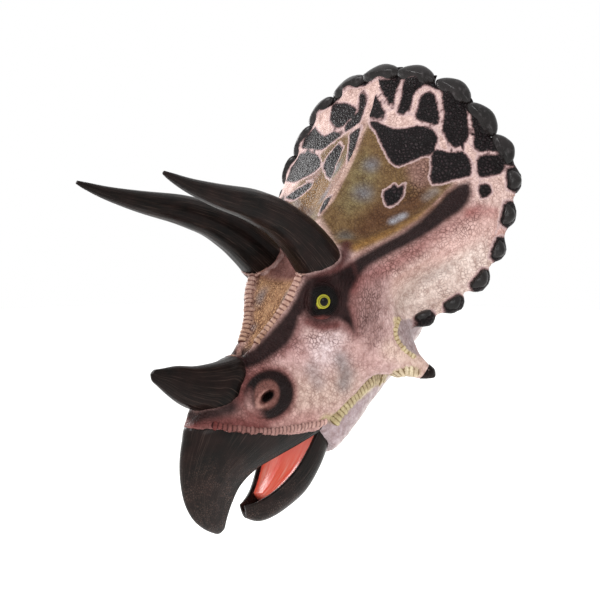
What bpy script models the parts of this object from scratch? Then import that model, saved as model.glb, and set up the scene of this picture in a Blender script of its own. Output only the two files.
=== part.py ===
"""Painted wall head of a three-horned dinosaur, as a museum hangs it.

Units are metres. +Z is up and +Y runs into the wall. The origin is the middle of the back board's
rear face, which lies flat on the wall. The head is modelled along its own skull line and then tipped
nose down, so a point of it is given as (side, fore, up): side is +X, the animal's left, fore runs along
the skull towards the beak, and up stands square on the brow. Their zero lies between the brow horns.
"""

import math

import bmesh
import bpy
from mathutils import Matrix, Vector

NOSE_DOWN = math.radians(47)
SKULL_ZERO = Vector((0, -0.563, -0.134))
GAP = 0.0003
SKIN_VOXEL = 0.0125
HEAD_TRIANGLES = 4800

# The skull's slices, from inside the frill to the edge of the beak: the roof's middle (fore, up), the
# lower hem (fore, up), then the half widths at the brow ridge, the cheek and the hem.
SKULL_SLICES = (
    ((-0.120, -0.030), (-0.080, -0.300), 0.120, 0.215, 0.215),
    ((-0.010, -0.012), (0.020, -0.325), 0.104, 0.180, 0.222),
    ((0.100, -0.012), (0.112, -0.318), 0.070, 0.132, 0.200),
    ((0.190, -0.034), (0.185, -0.310), 0.048, 0.104, 0.178),
    ((0.280, -0.036), (0.245, -0.304), 0.034, 0.088, 0.160),
    ((0.370, -0.012), (0.288, -0.300), 0.038, 0.080, 0.145),
    ((0.462, 0.002), (0.312, -0.300), 0.032, 0.072, 0.134),
    ((0.546, 0.000), (0.328, -0.300), 0.020, 0.062, 0.124),
)
SLICE_STEPS = 4

# Frill: its edge and its root from the crown down to the cheek, each point as (side, fore, up).
FRILL_EDGE = (
    (0.000, -0.718, 0.084),
    (0.125, -0.707, 0.067),
    (0.252, -0.669, 0.020),
    (0.340, -0.610, -0.050),
    (0.404, -0.544, -0.116),
    (0.432, -0.480, -0.180),
    (0.430, -0.390, -0.228),
    (0.414, -0.303, -0.277),
    (0.388, -0.205, -0.298),
    (0.343, -0.113, -0.293),
    (0.295, -0.038, -0.264),
)
FRILL_ROOT = (
    (0.000, 0.000, -0.010),
    (0.100, 0.010, -0.012),
    (0.170, 0.030, -0.060),
    (0.192, 0.050, -0.130),
    (0.205, 0.060, -0.220),
)
FRILL_THICK_ROOT = 0.060
FRILL_THICK_EDGE = 0.026
FRILL_COLUMNS = 72
FRILL_ROWS = 18
FRILL_REACH = 1.021
SADDLE_DEPTH = 0.050
HOLLOW_DEPTH = 0.052
BAR_RISE = 0.036
VALLEY_DEPTH = 0.040
KEEL_RISE = 0.020

# Scutes round the frill's edge: how many on each side of the middle one, and the half axes of each
# along the edge, outward and through.
SCUTES_A_SIDE = 10
SCUTE_ALONG = 0.053
SCUTE_OUT = 0.036
SCUTE_THROUGH = 0.028
SCUTE_SHIFT = -0.004

# The line (fore, up) that parts frill from face: behind the brow horns and down past the cheek.
FRILL_CUT = ((0.118, -0.60), (-0.178, 0.30))

# Cheek spike: from the cheek to its tip, as (side, fore, up), with the radii at both ends.
CHEEK_ROOT = (0.180, 0.080, -0.260)
CHEEK_TIP = (0.321, 0.074, -0.364)
CHEEK_ROOT_RADIUS = 0.074
CHEEK_TIP_RADIUS = 0.014
CHEEK_CAP_LENGTH = 0.050

# The ridge between a brow horn and the nose horn, as (side, fore, up), with its radius at the top.
RIDGE_LINE = (
    (0.090, 0.060, 0.004),
    (0.080, 0.120, -0.014),
    (0.056, 0.190, -0.030),
    (0.036, 0.270, -0.034),
    (0.026, 0.320, -0.030),
)
RIDGE_RADIUS = 0.018

# Brow horn: its centre line as (side, fore, up) and its radius.
BROW_HORN = (
    ((0.098, -0.014, -0.036), 0.0540),
    ((0.099, -0.003, 0.003), 0.0640),
    ((0.105, 0.005, 0.069), 0.0598),
    ((0.110, 0.017, 0.130), 0.0544),
    ((0.117, 0.043, 0.204), 0.0466),
    ((0.123, 0.076, 0.265), 0.0420),
    ((0.130, 0.110, 0.318), 0.0368),
    ((0.139, 0.168, 0.397), 0.0272),
    ((0.148, 0.219, 0.473), 0.0168),
    ((0.154, 0.247, 0.523), 0.0094),
    ((0.157, 0.259, 0.547), 0.0045),
)
BROW_SIDES = 16

# Nose horn: its rear and front edge as (fore, up), then the half width.
NOSE_HORN = (
    ((0.335, -0.075), (0.485, -0.070), 0.048),
    ((0.312, -0.012), (0.503, -0.004), 0.050),
    ((0.349, 0.009), (0.517, 0.032), 0.045),
    ((0.389, 0.043), (0.527, 0.068), 0.038),
    ((0.428, 0.082), (0.532, 0.104), 0.030),
    ((0.461, 0.125), (0.534, 0.138), 0.022),
    ((0.492, 0.155), (0.535, 0.160), 0.013),
    ((0.511, 0.174), (0.528, 0.174), 0.005),
)
NOSE_SIDES = 18

# Upper beak: the ridge and the cutting edge as (fore, up), with the half width at the cutting edge.
BEAK_SLICES = (
    ((0.480, -0.034), (0.300, -0.275), 0.116),
    ((0.546, -0.006), (0.328, -0.300), 0.116),
    ((0.586, -0.022), (0.385, -0.279), 0.102),
    ((0.628, -0.048), (0.455, -0.246), 0.081),
    ((0.664, -0.082), (0.520, -0.218), 0.060),
    ((0.693, -0.124), (0.574, -0.214), 0.043),
    ((0.708, -0.172), (0.618, -0.230), 0.031),
    ((0.707, -0.220), (0.652, -0.250), 0.022),
    ((0.695, -0.268), (0.678, -0.275), 0.011),
)
PALATE_RISE = 0.22

# Lower beak: the rim's middle and the keel as (fore, up), with the half width at the rim.
SCOOP_SLICES = (
    ((0.330, -0.302), (0.330, -0.430), 0.102),
    ((0.380, -0.314), (0.390, -0.446), 0.096),
    ((0.444, -0.326), (0.450, -0.454), 0.082),
    ((0.498, -0.327), (0.500, -0.442), 0.064),
    ((0.540, -0.320), (0.553, -0.416), 0.046),
    ((0.575, -0.306), (0.592, -0.382), 0.029),
    ((0.596, -0.288), (0.610, -0.332), 0.012),
)
SCOOP_BULGE = 0.12
SCOOP_WALL = 0.018
SCOOP_FLOOR = 0.62

# The mouth's floor across half its width, as shares of that width and of the gutter's depth.
LINING_OUTLINE = ((0.0, -0.04), (0.30, 0.0), (0.62, 0.14), (1.0, 0.24), (0.92, 0.80), (0.0, 0.90))

# Throat and neck: the middle (fore, up), then the half height and the half width of each slice.
NECK_SLICES = (
    ((0.330 - GAP, -0.366), 0.068, 0.115),
    ((0.290, -0.353), 0.084, 0.133),
    ((0.200, -0.338), 0.112, 0.152),
    ((0.070, -0.318), 0.158, 0.170),
    ((-0.080, -0.298), 0.190, 0.204),
    ((-0.240, -0.292), 0.200, 0.212),
    ((-0.450, -0.298), 0.200, 0.210),
    ((-0.900, -0.320), 0.196, 0.206),
)
NECK_SIDES = 28
JAW_CUT_FORE = 0.150

EYE_AT = (0.106, 0.086, -0.056)
EYE_RADIUS = 0.030
EYE_RIM_RADIUS = 0.052
NOSTRIL_AT = (0.080, 0.390, -0.092)
NOSTRIL_BOSS = (0.022, 0.074, 0.070)
NOSTRIL_HOLE = (0.030, 0.020, 0.013)
NOSTRIL_HOLE_SIDE = 0.022

BOARD_THICK = 0.018
BOARD_HALF_WIDTH = 0.165
BOARD_HALF_HEIGHT = 0.225
BOARD_SIDES = 32
HANGER_SIDE = 0.090
HANGER_UP = 0.130
HANGER_SIZE = (0.036, 0.003, 0.064)
KEYHOLE_RADIUS = 0.0055
KEYHOLE_SLOT = 0.0028
KEYHOLE_RISE = 0.016

COLOURS = {
    "skin": ((0.62, 0.47, 0.43), 0.55, 0.0),
    "horn": ((0.050, 0.040, 0.038), 0.38, 0.0),
    "mouth": ((0.80, 0.16, 0.10), 0.30, 0.0),
    "eye": ((0.60, 0.58, 0.08), 0.12, 0.0),
    "plywood": ((0.52, 0.36, 0.20), 0.70, 0.0),
    "steel": ((0.60, 0.60, 0.62), 0.35, 1.0),
}


def clear_scene():
    for obj in list(bpy.data.objects):
        bpy.data.objects.remove(obj)


def material(name):
    """The painted finish of one kind of part."""
    found = bpy.data.materials.get(name)
    if found:
        return found
    colour, roughness, metallic = COLOURS[name]
    made = bpy.data.materials.new(name)
    made.use_nodes = True
    shader = made.node_tree.nodes["Principled BSDF"]
    shader.inputs["Base Color"].default_value = (*colour, 1)
    shader.inputs["Roughness"].default_value = roughness
    shader.inputs["Metallic"].default_value = metallic
    return made


def head_axis():
    """The empty that tips the head nose down; every part of the head hangs from it."""
    found = bpy.data.objects.get("head_axis")
    if found:
        return found
    empty = bpy.data.objects.new("head_axis", None)
    empty.rotation_euler = (NOSE_DOWN, 0, 0)
    empty.location = SKULL_ZERO
    bpy.context.scene.collection.objects.link(empty)
    bpy.context.view_layer.update()
    return empty


def skull(side, fore, up):
    """A point of the head in the axes of the tipped empty."""
    return Vector((side, -fore, up))


def add_mesh(name, points, faces, finish, on_head=True):
    mesh = bpy.data.meshes.new(name)
    mesh.from_pydata([tuple(p) for p in points], [], faces)
    bm = bmesh.new()
    bm.from_mesh(mesh)
    bmesh.ops.triangulate(bm, faces=bm.faces)
    bmesh.ops.recalc_face_normals(bm, faces=bm.faces)
    bm.to_mesh(mesh)
    bm.free()
    mesh.materials.append(material(finish))
    obj = bpy.data.objects.new(name, mesh)
    bpy.context.scene.collection.objects.link(obj)
    if on_head:
        obj.parent = head_axis()
    return obj


def hill(x):
    """One at zero, falling smoothly to nothing at -1 and 1."""
    return max(0.0, 1 - x * x) ** 2


def flowing(rows, steps):
    """Rows of numbers with steps - 1 more between each two, on a curve through them all."""
    rows = [tuple(float(v) for v in row) for row in rows]
    result = []
    for i in range(len(rows) - 1):
        before, here = rows[max(i - 1, 0)], rows[i]
        there, after = rows[i + 1], rows[min(i + 2, len(rows) - 1)]
        for k in range(steps):
            columns = zip(before, here, there, after)
            result.append(tuple(catmull(*column, k / steps) for column in columns))
    result.append(rows[-1])
    return result


def catmull(before, here, there, after, t):
    return 0.5 * (
        2 * here
        + (there - before) * t
        + (2 * before - 5 * here + 4 * there - after) * t * t
        + (3 * here - before - 3 * there + after) * t**3
    )


def along(rows, share):
    """The row at a share, 0 to 1, of the curve through the rows."""
    place = min(max(share, 0.0), 1.0) * (len(rows) - 1)
    i = min(int(place), len(rows) - 2)
    before, here = rows[max(i - 1, 0)], rows[i]
    there, after = rows[i + 1], rows[min(i + 2, len(rows) - 1)]
    return Vector([catmull(*column, place - i) for column in zip(before, here, there, after)])


def across_line(line):
    """Two directions square to a line and to each other."""
    first = line.cross(Vector((0, 1, 0))).normalized()
    return first, line.cross(first)


def circle(centre, line, radius, sides):
    """A ring of points square to a line."""
    first, second = across_line(line)
    turns = [2 * math.pi * s / sides for s in range(sides)]
    return [centre + (first * math.cos(turn) + second * math.sin(turn)) * radius for turn in turns]


def both_sides(left):
    """A closed outline from its left half, whose first and last points lie on the middle."""
    return left + [Vector((-p.x, p.y, p.z)) for p in left[-2:0:-1]]


def slice_outline(top, bottom, half):
    """A slice of the head between two middle points (fore, up), from pairs of (side, share down)."""
    top, bottom = Vector(top), Vector(bottom)
    return both_sides([skull(side, *top.lerp(bottom, share)) for side, share in half])


def loft(name, rings, finish, on_head=True):
    """A closed body through rings of equal count, with a flat face at each end."""
    count = len(rings[0])
    points = [p for ring in rings for p in ring]
    faces = [tuple(range(count))[::-1], tuple(range(len(points) - count, len(points)))]
    for r in range(len(rings) - 1):
        for k in range(count):
            here, beside = r * count + k, r * count + (k + 1) % count
            faces.append((here, beside, beside + count, here + count))
    return add_mesh(name, points, faces, finish, on_head)


def ball(name, centre, half_axes, finish, segments=16, rings=10, turn=None, on_head=True):
    """An ellipsoid of three half axes, turned by a 3 by 3 matrix of its axes if one is given."""
    bm = bmesh.new()
    bmesh.ops.create_uvsphere(bm, u_segments=segments, v_segments=rings, radius=1)
    bmesh.ops.rotate(bm, verts=bm.verts, matrix=Matrix.Rotation(math.pi / segments, 3, "Z"))
    points = [Vector((v.co.x * half_axes[0], v.co.y * half_axes[1], v.co.z * half_axes[2])) for v in bm.verts]
    faces = [tuple(v.index for v in f.verts) for f in bm.faces]
    bm.free()
    if turn:
        points = [turn[0] * p.x + turn[1] * p.y + turn[2] * p.z for p in points]
    return add_mesh(name, [p + Vector(centre) for p in points], faces, finish, on_head)


def settled(obj):
    """The object in triangles, with its modifiers applied."""
    bpy.context.view_layer.update()
    graph = bpy.context.evaluated_depsgraph_get()
    mesh = bpy.data.meshes.new_from_object(obj.evaluated_get(graph))
    mesh.name = obj.name
    bm = bmesh.new()
    bm.from_mesh(mesh)
    bmesh.ops.triangulate(bm, faces=bm.faces)
    bm.to_mesh(mesh)
    bm.free()
    obj.modifiers.clear()
    obj.data = mesh
    return obj


def with_boolean(obj, operation, tool):
    """The object joined with, or cut by, another, which is then removed."""
    before = obj.data.copy()
    for solver in ("EXACT", "MANIFOLD"):
        obj.data = before.copy()
        modifier = obj.modifiers.new(operation.lower(), "BOOLEAN")
        modifier.operation = operation
        modifier.solver = solver
        modifier.object = tool
        if is_closed(settled(obj)):
            break
    bpy.data.objects.remove(tool)
    return obj


def joined(blocks):
    """The blocks as one mesh that still passes through itself."""
    bm = bmesh.new()
    for block in blocks:
        bm.from_mesh(block.data)
    whole = blocks[0]
    bm.to_mesh(whole.data)
    bm.free()
    for block in blocks[1:]:
        bpy.data.objects.remove(block)
    return whole


def largest_body(obj):
    """Keeps the object's largest closed surface and drops the scraps of a cut."""
    bm = bmesh.new()
    bm.from_mesh(obj.data)
    left = set(bm.faces)
    bodies = []
    while left:
        stack = [left.pop()]
        body = set(stack)
        while stack:
            for edge in stack.pop().edges:
                for face in edge.link_faces:
                    if face in left:
                        left.discard(face)
                        body.add(face)
                        stack.append(face)
        bodies.append(body)
    keep = max(bodies, key=lambda body: sum(face.calc_area() for face in body))
    scraps = [face for body in bodies if body is not keep for face in body]
    bmesh.ops.delete(bm, geom=scraps, context="FACES")
    bm.to_mesh(obj.data)
    bm.free()
    return obj


def copy_of(obj, name):
    made = obj.copy()
    made.data = obj.data.copy()
    made.name = name
    bpy.context.scene.collection.objects.link(made)
    return made


def grown(obj, name, by=GAP):
    """A copy of the object, larger by the gap that neighbours keep."""
    made = copy_of(obj, name)
    made.data.update()
    moved = [v.co + v.normal * by for v in made.data.vertices]
    for vertex, place in zip(made.data.vertices, moved):
        vertex.co = place
    return made


def skull_ring(slice_row):
    """The closed outline of one skull slice, from the roof's middle round the left side to the right."""
    top_fore, top_up, hem_fore, hem_up, ridge, cheek, hem = slice_row
    half = flowing(
        (
            (0.0, 0.030),
            (ridge * 0.70, 0.014),
            (ridge, 0.0),
            (ridge * 0.45 + cheek * 0.55, 0.075),
            (cheek, 0.26),
            (cheek * 0.45 + hem * 0.55, 0.58),
            (hem, 0.90),
            (hem * 0.86, 1.0),
            (0.0, 1.0),
        ),
        3,
    )
    return slice_outline((top_fore, top_up), (hem_fore, hem_up), half)


def skull_block():
    rows = [(*top, *hem, ridge, cheek, low) for top, hem, ridge, cheek, low in SKULL_SLICES]
    return loft("skull_block", [skull_ring(row) for row in flowing(rows, SLICE_STEPS)], "skin")


def frill_rise(t, r):
    """How far the frill stands above the plain sheet, at t from crown to cheek and r from root to edge."""
    t = abs(t)
    arch = math.sin(math.pi * min(max(r, 0.0), 1.0))
    saddle = -SADDLE_DEPTH * arch * hill(t / 0.7)
    hollow = -HOLLOW_DEPTH * hill((t - 0.27) / 0.24) * hill((r - 0.42) / 0.42)
    bar = BAR_RISE * hill((t - 0.60 + 0.10 * r) / 0.17) * max(arch, 0.0) ** 0.7
    valley = -VALLEY_DEPTH * hill((t - 0.80) / 0.20) * hill((r - 0.55) / 0.45)
    keel = KEEL_RISE * hill(t / 0.09) * hill((r - 0.40) / 0.55)
    return saddle + hollow + bar + valley + keel


def frill_sheet_point(t, r):
    """A point of the plain sheet between root and edge, mirrored for a negative t."""
    root, edge = along(FRILL_ROOT, abs(t)), along(FRILL_EDGE, abs(t))
    point = root.lerp(edge, r)
    return skull(math.copysign(point.x, t) if t else 0.0, point.y, point.z)


def frill_normal(t, r):
    """The way the plain sheet faces, away from the neck."""
    step = 0.01
    across = frill_sheet_point(min(t + step, 1), r) - frill_sheet_point(max(t - step, -1), r)
    out = frill_sheet_point(t, min(r + step, 1)) - frill_sheet_point(t, max(r - step, 0))
    return out.cross(across).normalized() * -1


def frill_face(t, r, below=0.0):
    """A point of the frill's face, or below it towards the neck."""
    return frill_sheet_point(t, r) + frill_normal(t, r) * (frill_rise(t, r) - below)


def frill_thickness(r):
    return FRILL_THICK_ROOT + (FRILL_THICK_EDGE - FRILL_THICK_ROOT) * r


def grid_shell(name, face_point, back_point, columns, rows, finish):
    """A closed shell between two grids of points over t, -1 to 1, and r, 0 to 1."""
    points, faces = [], []
    for place in (face_point, back_point):
        for c in range(columns + 1):
            for r in range(rows + 1):
                points.append(place(-1 + 2 * c / columns, r / rows))
    layer = (columns + 1) * (rows + 1)

    def number(c, r, back):
        return c * (rows + 1) + r + back * layer

    for c in range(columns):
        for r in range(rows):
            for back in (0, 1):
                corners = [(c, r), (c + 1, r), (c + 1, r + 1), (c, r + 1)]
                faces.append(tuple(number(*corner, back) for corner in corners))
        for r in (0, rows):
            faces.append((number(c, r, 0), number(c + 1, r, 0), number(c + 1, r, 1), number(c, r, 1)))
    for r in range(rows):
        for c in (0, columns):
            faces.append((number(c, r, 0), number(c, r + 1, 0), number(c, r + 1, 1), number(c, r, 1)))
    return add_mesh(name, points, faces, finish)


def frill_block():
    return grid_shell(
        "frill_block",
        lambda t, r: frill_face(t, r * FRILL_REACH),
        lambda t, r: frill_face(t, r * FRILL_REACH, frill_thickness(r)),
        FRILL_COLUMNS,
        FRILL_ROWS,
        "skin",
    )


def tapered_bar(name, start, end, start_radius, end_radius, finish, sides=20, rings=8):
    """A round bar between two points, with a domed far end."""
    start, end = skull(*start), skull(*end)
    line = (end - start).normalized()
    profile = [(k / rings, start_radius + (end_radius - start_radius) * k / rings) for k in range(rings + 1)]
    length = (end - start).length
    for k in (1, 2, 3):
        turn = math.radians(25 * k)
        profile.append((1 + end_radius * math.sin(turn) / length, end_radius * math.cos(turn)))
    rings = [circle(start.lerp(end, share), line, radius, sides) for share, radius in profile]
    return loft(name, rings, finish)


def mirrored(place, side):
    return (place[0] * side, place[1], place[2])


def ridge_roll(side):
    """The rounded ridge from a brow horn down the edge of the nose panel."""
    stops = [skull(*mirrored(stop, side)) for stop in flowing(RIDGE_LINE, 3)]
    rings = []
    for i, stop in enumerate(stops):
        line = stops[min(i + 1, len(stops) - 1)] - stops[max(i - 1, 0)]
        radius = RIDGE_RADIUS * (1 - 0.45 * i / (len(stops) - 1))
        rings.append(circle(stop, line.normalized(), radius, 10))
    return loft("ridge_roll", rings, "skin")


def head_blocks():
    """The plain masses that the face and frill are fused from."""
    blocks = [skull_block(), frill_block()]
    for side in (1, -1):
        root, tip = mirrored(CHEEK_ROOT, side), mirrored(CHEEK_TIP, side)
        blocks.append(tapered_bar("cheek_bar", root, tip, CHEEK_ROOT_RADIUS, CHEEK_TIP_RADIUS, "skin"))
        web_root = mirrored((0.185, 0.020, -0.200), side)
        web_tip = mirrored((0.262, 0.050, -0.305), side)
        blocks.append(tapered_bar("cheek_web", web_root, web_tip, 0.075, 0.030, "skin"))
        blocks.append(ridge_roll(side))
        eye = skull(*mirrored(EYE_AT, side))
        rim = (EYE_RIM_RADIUS * 0.52, EYE_RIM_RADIUS * 1.05, EYE_RIM_RADIUS)
        blocks.append(ball("eye_mound", eye, rim, "skin"))
        blocks.append(ball("nostril_boss", skull(*mirrored(NOSTRIL_AT, side)), NOSTRIL_BOSS, "skin"))
    return blocks


def smooth_head():
    """Face and frill as one smooth closed body."""
    head = joined(head_blocks())
    remesh = head.modifiers.new("even", "REMESH")
    remesh.mode = "VOXEL"
    remesh.voxel_size = SKIN_VOXEL
    smooth = head.modifiers.new("soften", "SMOOTH")
    smooth.factor = 0.5
    smooth.iterations = 6
    return thinned(largest_body(settled(head)), HEAD_TRIANGLES)


def is_closed(obj):
    """Whether every edge has exactly two faces."""
    bm = bmesh.new()
    bm.from_mesh(obj.data)
    result = all(len(edge.link_faces) == 2 for edge in bm.edges)
    bm.free()
    return result


def thinned(obj, triangles):
    """The object with about so many triangles, a few more or less if that is what keeps it closed."""
    full = obj.data.copy()
    full.calc_loop_triangles()
    for count in (triangles + 40 * k * (-1) ** k for k in range(12)):
        obj.data = full.copy()
        thin = obj.modifiers.new("thin", "DECIMATE")
        thin.ratio = count / len(full.loop_triangles)
        if is_closed(settled(obj)):
            break
    return obj


def block_behind(name, low, high, depth):
    """A block as wide as the head, with one face through two points (fore, up) and its bulk behind them.

    A negative depth puts its bulk ahead of them.
    """
    near = [skull(x, *point) for x, point in ((-1, high), (1, high), (1, low), (-1, low))]
    away = (near[1] - near[0]).cross(near[3] - near[0]).normalized() * depth
    return loft(name, [near, [p + away for p in near]], "skin")


def scute(index, side):
    """One scute on the frill's edge. They grow smaller from the crown down to the cheek."""
    t = index / SCUTES_A_SIDE
    edge = along(FRILL_EDGE, t)
    before, after = frill_sheet_point(max(t - 0.03, 0), 1), frill_sheet_point(min(t + 0.03, 1), 1)
    run = (after - before).normalized() if index else Vector((1, 0, 0))
    normal = frill_normal(t, 1)
    out = run.cross(normal).normalized()
    if out.dot(skull(*edge) - frill_sheet_point(t, 0.5)) < 0:
        out = -out
    wane = 1 - 0.26 * t
    centre = skull(*edge) - normal * (FRILL_THICK_EDGE * 0.3) + out * (SCUTE_SHIFT * wane)
    sway = 1 + 0.07 * math.sin(2.3 * index + 0.8 * side)
    axes = [run, out, normal]
    if side < 0:
        centre.x = -centre.x
        axes = [Vector((-axis.x, axis.y, axis.z)) for axis in axes]
    size = (SCUTE_ALONG * wane * sway, SCUTE_OUT * wane, SCUTE_THROUGH * wane * sway)
    return ball("scute", centre, size, "horn", 8, 5, axes)


def make_horn(name, side):
    stops = [skull(*mirrored(place, side)) for place, radius in BROW_HORN]
    rings = []
    for i, (place, radius) in enumerate(BROW_HORN):
        line = stops[min(i + 1, len(stops) - 1)] - stops[max(i - 1, 0)]
        rings.append(circle(stops[i], line.normalized(), radius, BROW_SIDES))
    return loft(name, rings, "horn")


def make_nose_horn():
    rings = []
    for rear, front, half_width in NOSE_HORN:
        middle = (Vector(rear) + Vector(front)) / 2
        reach = (Vector(front) - Vector(rear)) / 2
        ring = []
        for s in range(NOSE_SIDES):
            angle = 2 * math.pi * s / NOSE_SIDES
            ring.append(skull(half_width * math.sin(angle), *(middle + reach * math.cos(angle))))
        rings.append(ring)
    return loft("nose_horn", rings, "horn")


def beak_ring(row):
    """One slice of the upper beak: ridge, flanks and the hollow palate between the cutting edges."""
    width = row[4]
    half = []
    for k in range(7):
        turn = math.pi / 2 * k / 6
        half.append((width * math.sin(turn) ** 1.05, 1 - math.cos(turn) ** 1.05))
    half += [(width * 0.80, 1 - PALATE_RISE * 0.7), (width * 0.40, 1 - PALATE_RISE)]
    half.append((0.0, 1 - PALATE_RISE * 1.05))
    return slice_outline(row[0:2], row[2:4], half)


def make_upper_beak():
    rows = [(*ridge, *edge, width) for ridge, edge, width in BEAK_SLICES]
    return loft("upper_beak", [beak_ring(row) for row in flowing(rows, 2)], "horn")


def scoop_rows():
    return flowing([(*rim, *keel, width) for rim, keel, width in SCOOP_SLICES], 2)


def scoop_ring(row):
    """One slice of the lower beak: a deep gutter with thick walls."""
    width = row[4]
    hollow = width - min(SCOOP_WALL, width * 0.45)
    half = []
    for k in range(5):
        turn = math.pi / 2 * k / 4
        half.append((hollow * math.sin(turn), SCOOP_FLOOR * math.cos(turn)))
    for k in range(7):
        turn = math.pi / 2 * k / 6
        swell = max(math.cos(turn), 0.0) ** 0.7 + SCOOP_BULGE * math.sin(2 * turn)
        half.append((width * swell, math.sin(turn)))
    return slice_outline(row[0:2], row[2:4], half)


def make_lower_beak():
    return loft("lower_beak", [scoop_ring(row) for row in scoop_rows()], "horn")


def make_mouth_lining():
    """The red floor of the mouth and its tongue, which fill the gutter of the lower beak."""
    rings = []
    for row in scoop_rows()[:-3]:
        width = max(row[4] - SCOOP_WALL * 0.6, row[4] * 0.5)
        half = [(width * side, share) for side, share in LINING_OUTLINE]
        rings.append(slice_outline(row[0:2], row[2:4], half))
    return loft("mouth_lining", rings, "mouth")


def make_throat():
    """Throat and neck in one, back to beyond the wall."""
    rows = [(*middle, tall, wide) for middle, tall, wide in NECK_SLICES]
    rings = []
    for fore, up, tall, wide in flowing(rows, 3):
        ring = []
        for s in range(NECK_SIDES):
            angle = 2 * math.pi * s / NECK_SIDES
            across, rise = math.sin(angle), math.cos(angle)
            side = math.copysign(abs(across) ** 0.85, across) * wide
            ring.append(skull(side, fore, up + math.copysign(abs(rise) ** 0.85, rise) * tall))
        rings.append(ring)
    return loft("throat", rings, "skin")


def rectangle(half_width, y, half_height, centre=(0, 0)):
    """Four corners at one depth y from the wall."""
    corners = ((-1, -1), (1, -1), (1, 1), (-1, 1))
    return [Vector((centre[0] + x * half_width, y, centre[1] + z * half_height)) for x, z in corners]


def wall_block():
    """All that lies behind the neck's rear face."""
    rings = [rectangle(2, y, 2) for y in (-BOARD_THICK - GAP, 2)]
    return loft("wall_block", rings, "skin", on_head=False)


def make_board():
    """The plywood oval that closes the neck and lies on the wall."""
    rings = []
    for depth, inset in ((-BOARD_THICK, 0.0), (-0.002, 0.0), (0.0, 0.002)):
        ring = []
        for s in range(BOARD_SIDES):
            angle = 2 * math.pi * s / BOARD_SIDES
            side = (BOARD_HALF_WIDTH - inset) * math.sin(angle)
            ring.append(Vector((side, depth, (BOARD_HALF_HEIGHT - inset) * math.cos(angle))))
        rings.append(ring)
    return loft("back_board", rings, "plywood", on_head=False)


def box_at(name, centre, size, finish):
    half = Vector(size) / 2
    rings = [rectangle(half.x, centre.y + y * half.y, half.z, (centre.x, centre.z)) for y in (-1, 1)]
    return loft(name, rings, finish, on_head=False)


def rod_at(name, centre, radius, depth, finish, sides=16):
    """A short rod along Y."""
    rings = []
    for y in (-depth / 2, depth / 2):
        turns = [2 * math.pi * s / sides for s in range(sides)]
        rings.append([centre + Vector((radius * math.sin(a), y, radius * math.cos(a))) for a in turns])
    return loft(name, rings, finish, on_head=False)


def fit_hangers(board):
    """Two steel keyhole plates let into the board's rear face, each over a pocket for the screw's head."""
    width, thick, tall = HANGER_SIZE
    for side, label in ((1, "left"), (-1, "right")):
        middle = Vector((side * HANGER_SIDE, -thick / 2 - GAP, HANGER_UP))
        plate = box_at("hanger_" + label, middle, HANGER_SIZE, "steel")
        eye = rod_at("eye", middle - Vector((0, 0, 0.010)), KEYHOLE_RADIUS, 0.02, "steel")
        with_boolean(plate, "DIFFERENCE", eye)
        slot_middle = middle + Vector((0, 0, KEYHOLE_RISE / 2 - 0.010))
        slot = box_at("slot", slot_middle, (KEYHOLE_SLOT * 2, 0.02, KEYHOLE_RISE + 0.004), "steel")
        with_boolean(plate, "DIFFERENCE", slot)
        recess = box_at("recess", middle, (width + 2 * GAP, thick + 4 * GAP, tall + 2 * GAP), "steel")
        with_boolean(board, "DIFFERENCE", recess)
        pocket = box_at("pocket", middle - Vector((0, thick + 0.003, 0.002)), (0.018, 0.012, 0.036), "steel")
        with_boolean(board, "DIFFERENCE", pocket)


def eye_centre(side):
    place = skull(*mirrored(EYE_AT, side))
    return place + Vector((side, 0, 0)) * (EYE_RIM_RADIUS * 0.52 - EYE_RADIUS + 0.006)


def split_head(head):
    """Parts the smooth body into face and frill, and gives each what is set into it."""
    frill = copy_of(head, "frill")
    head.name = "face"
    (low_fore, low_up), (high_fore, high_up) = FRILL_CUT
    for body, shift, depth in ((head, GAP / 2, 1.2), (frill, -GAP / 2, -1.2)):
        low, high = (low_fore + shift, low_up), (high_fore + shift, high_up)
        with_boolean(body, "DIFFERENCE", block_behind("beyond_cut", low, high, depth))
    return largest_body(head), largest_body(frill)


def cut_by_part(body, part):
    """Cuts a body clear of a part by the gap."""
    return largest_body(with_boolean(body, "DIFFERENCE", grown(part, part.name + "_grown")))


def cheek_cap(face, side, label):
    """The dark horn cap on the end of a cheek spike, cut from the face's own end."""
    root, tip = skull(*mirrored(CHEEK_ROOT, side)), skull(*mirrored(CHEEK_TIP, side))
    line = (tip - root).normalized()
    start = tip - line * CHEEK_CAP_LENGTH
    cap = copy_of(face, "cheek_horn_" + label)
    for body, operation, near in ((cap, "INTERSECT", GAP / 2), (face, "DIFFERENCE", -GAP / 2)):
        rings = [circle(start + line * along_line, line, 0.12, 4) for along_line in (near, 0.14)]
        with_boolean(body, operation, loft("cap_space", rings, "horn"))
    cap.data.materials.clear()
    cap.data.materials.append(material("horn"))
    return largest_body(cap)


def finish_shading():
    for obj in bpy.data.objects:
        if obj.type == "MESH":
            obj.data.shade_smooth()
            obj.data.set_sharp_from_angle(angle=math.radians(50))


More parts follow.
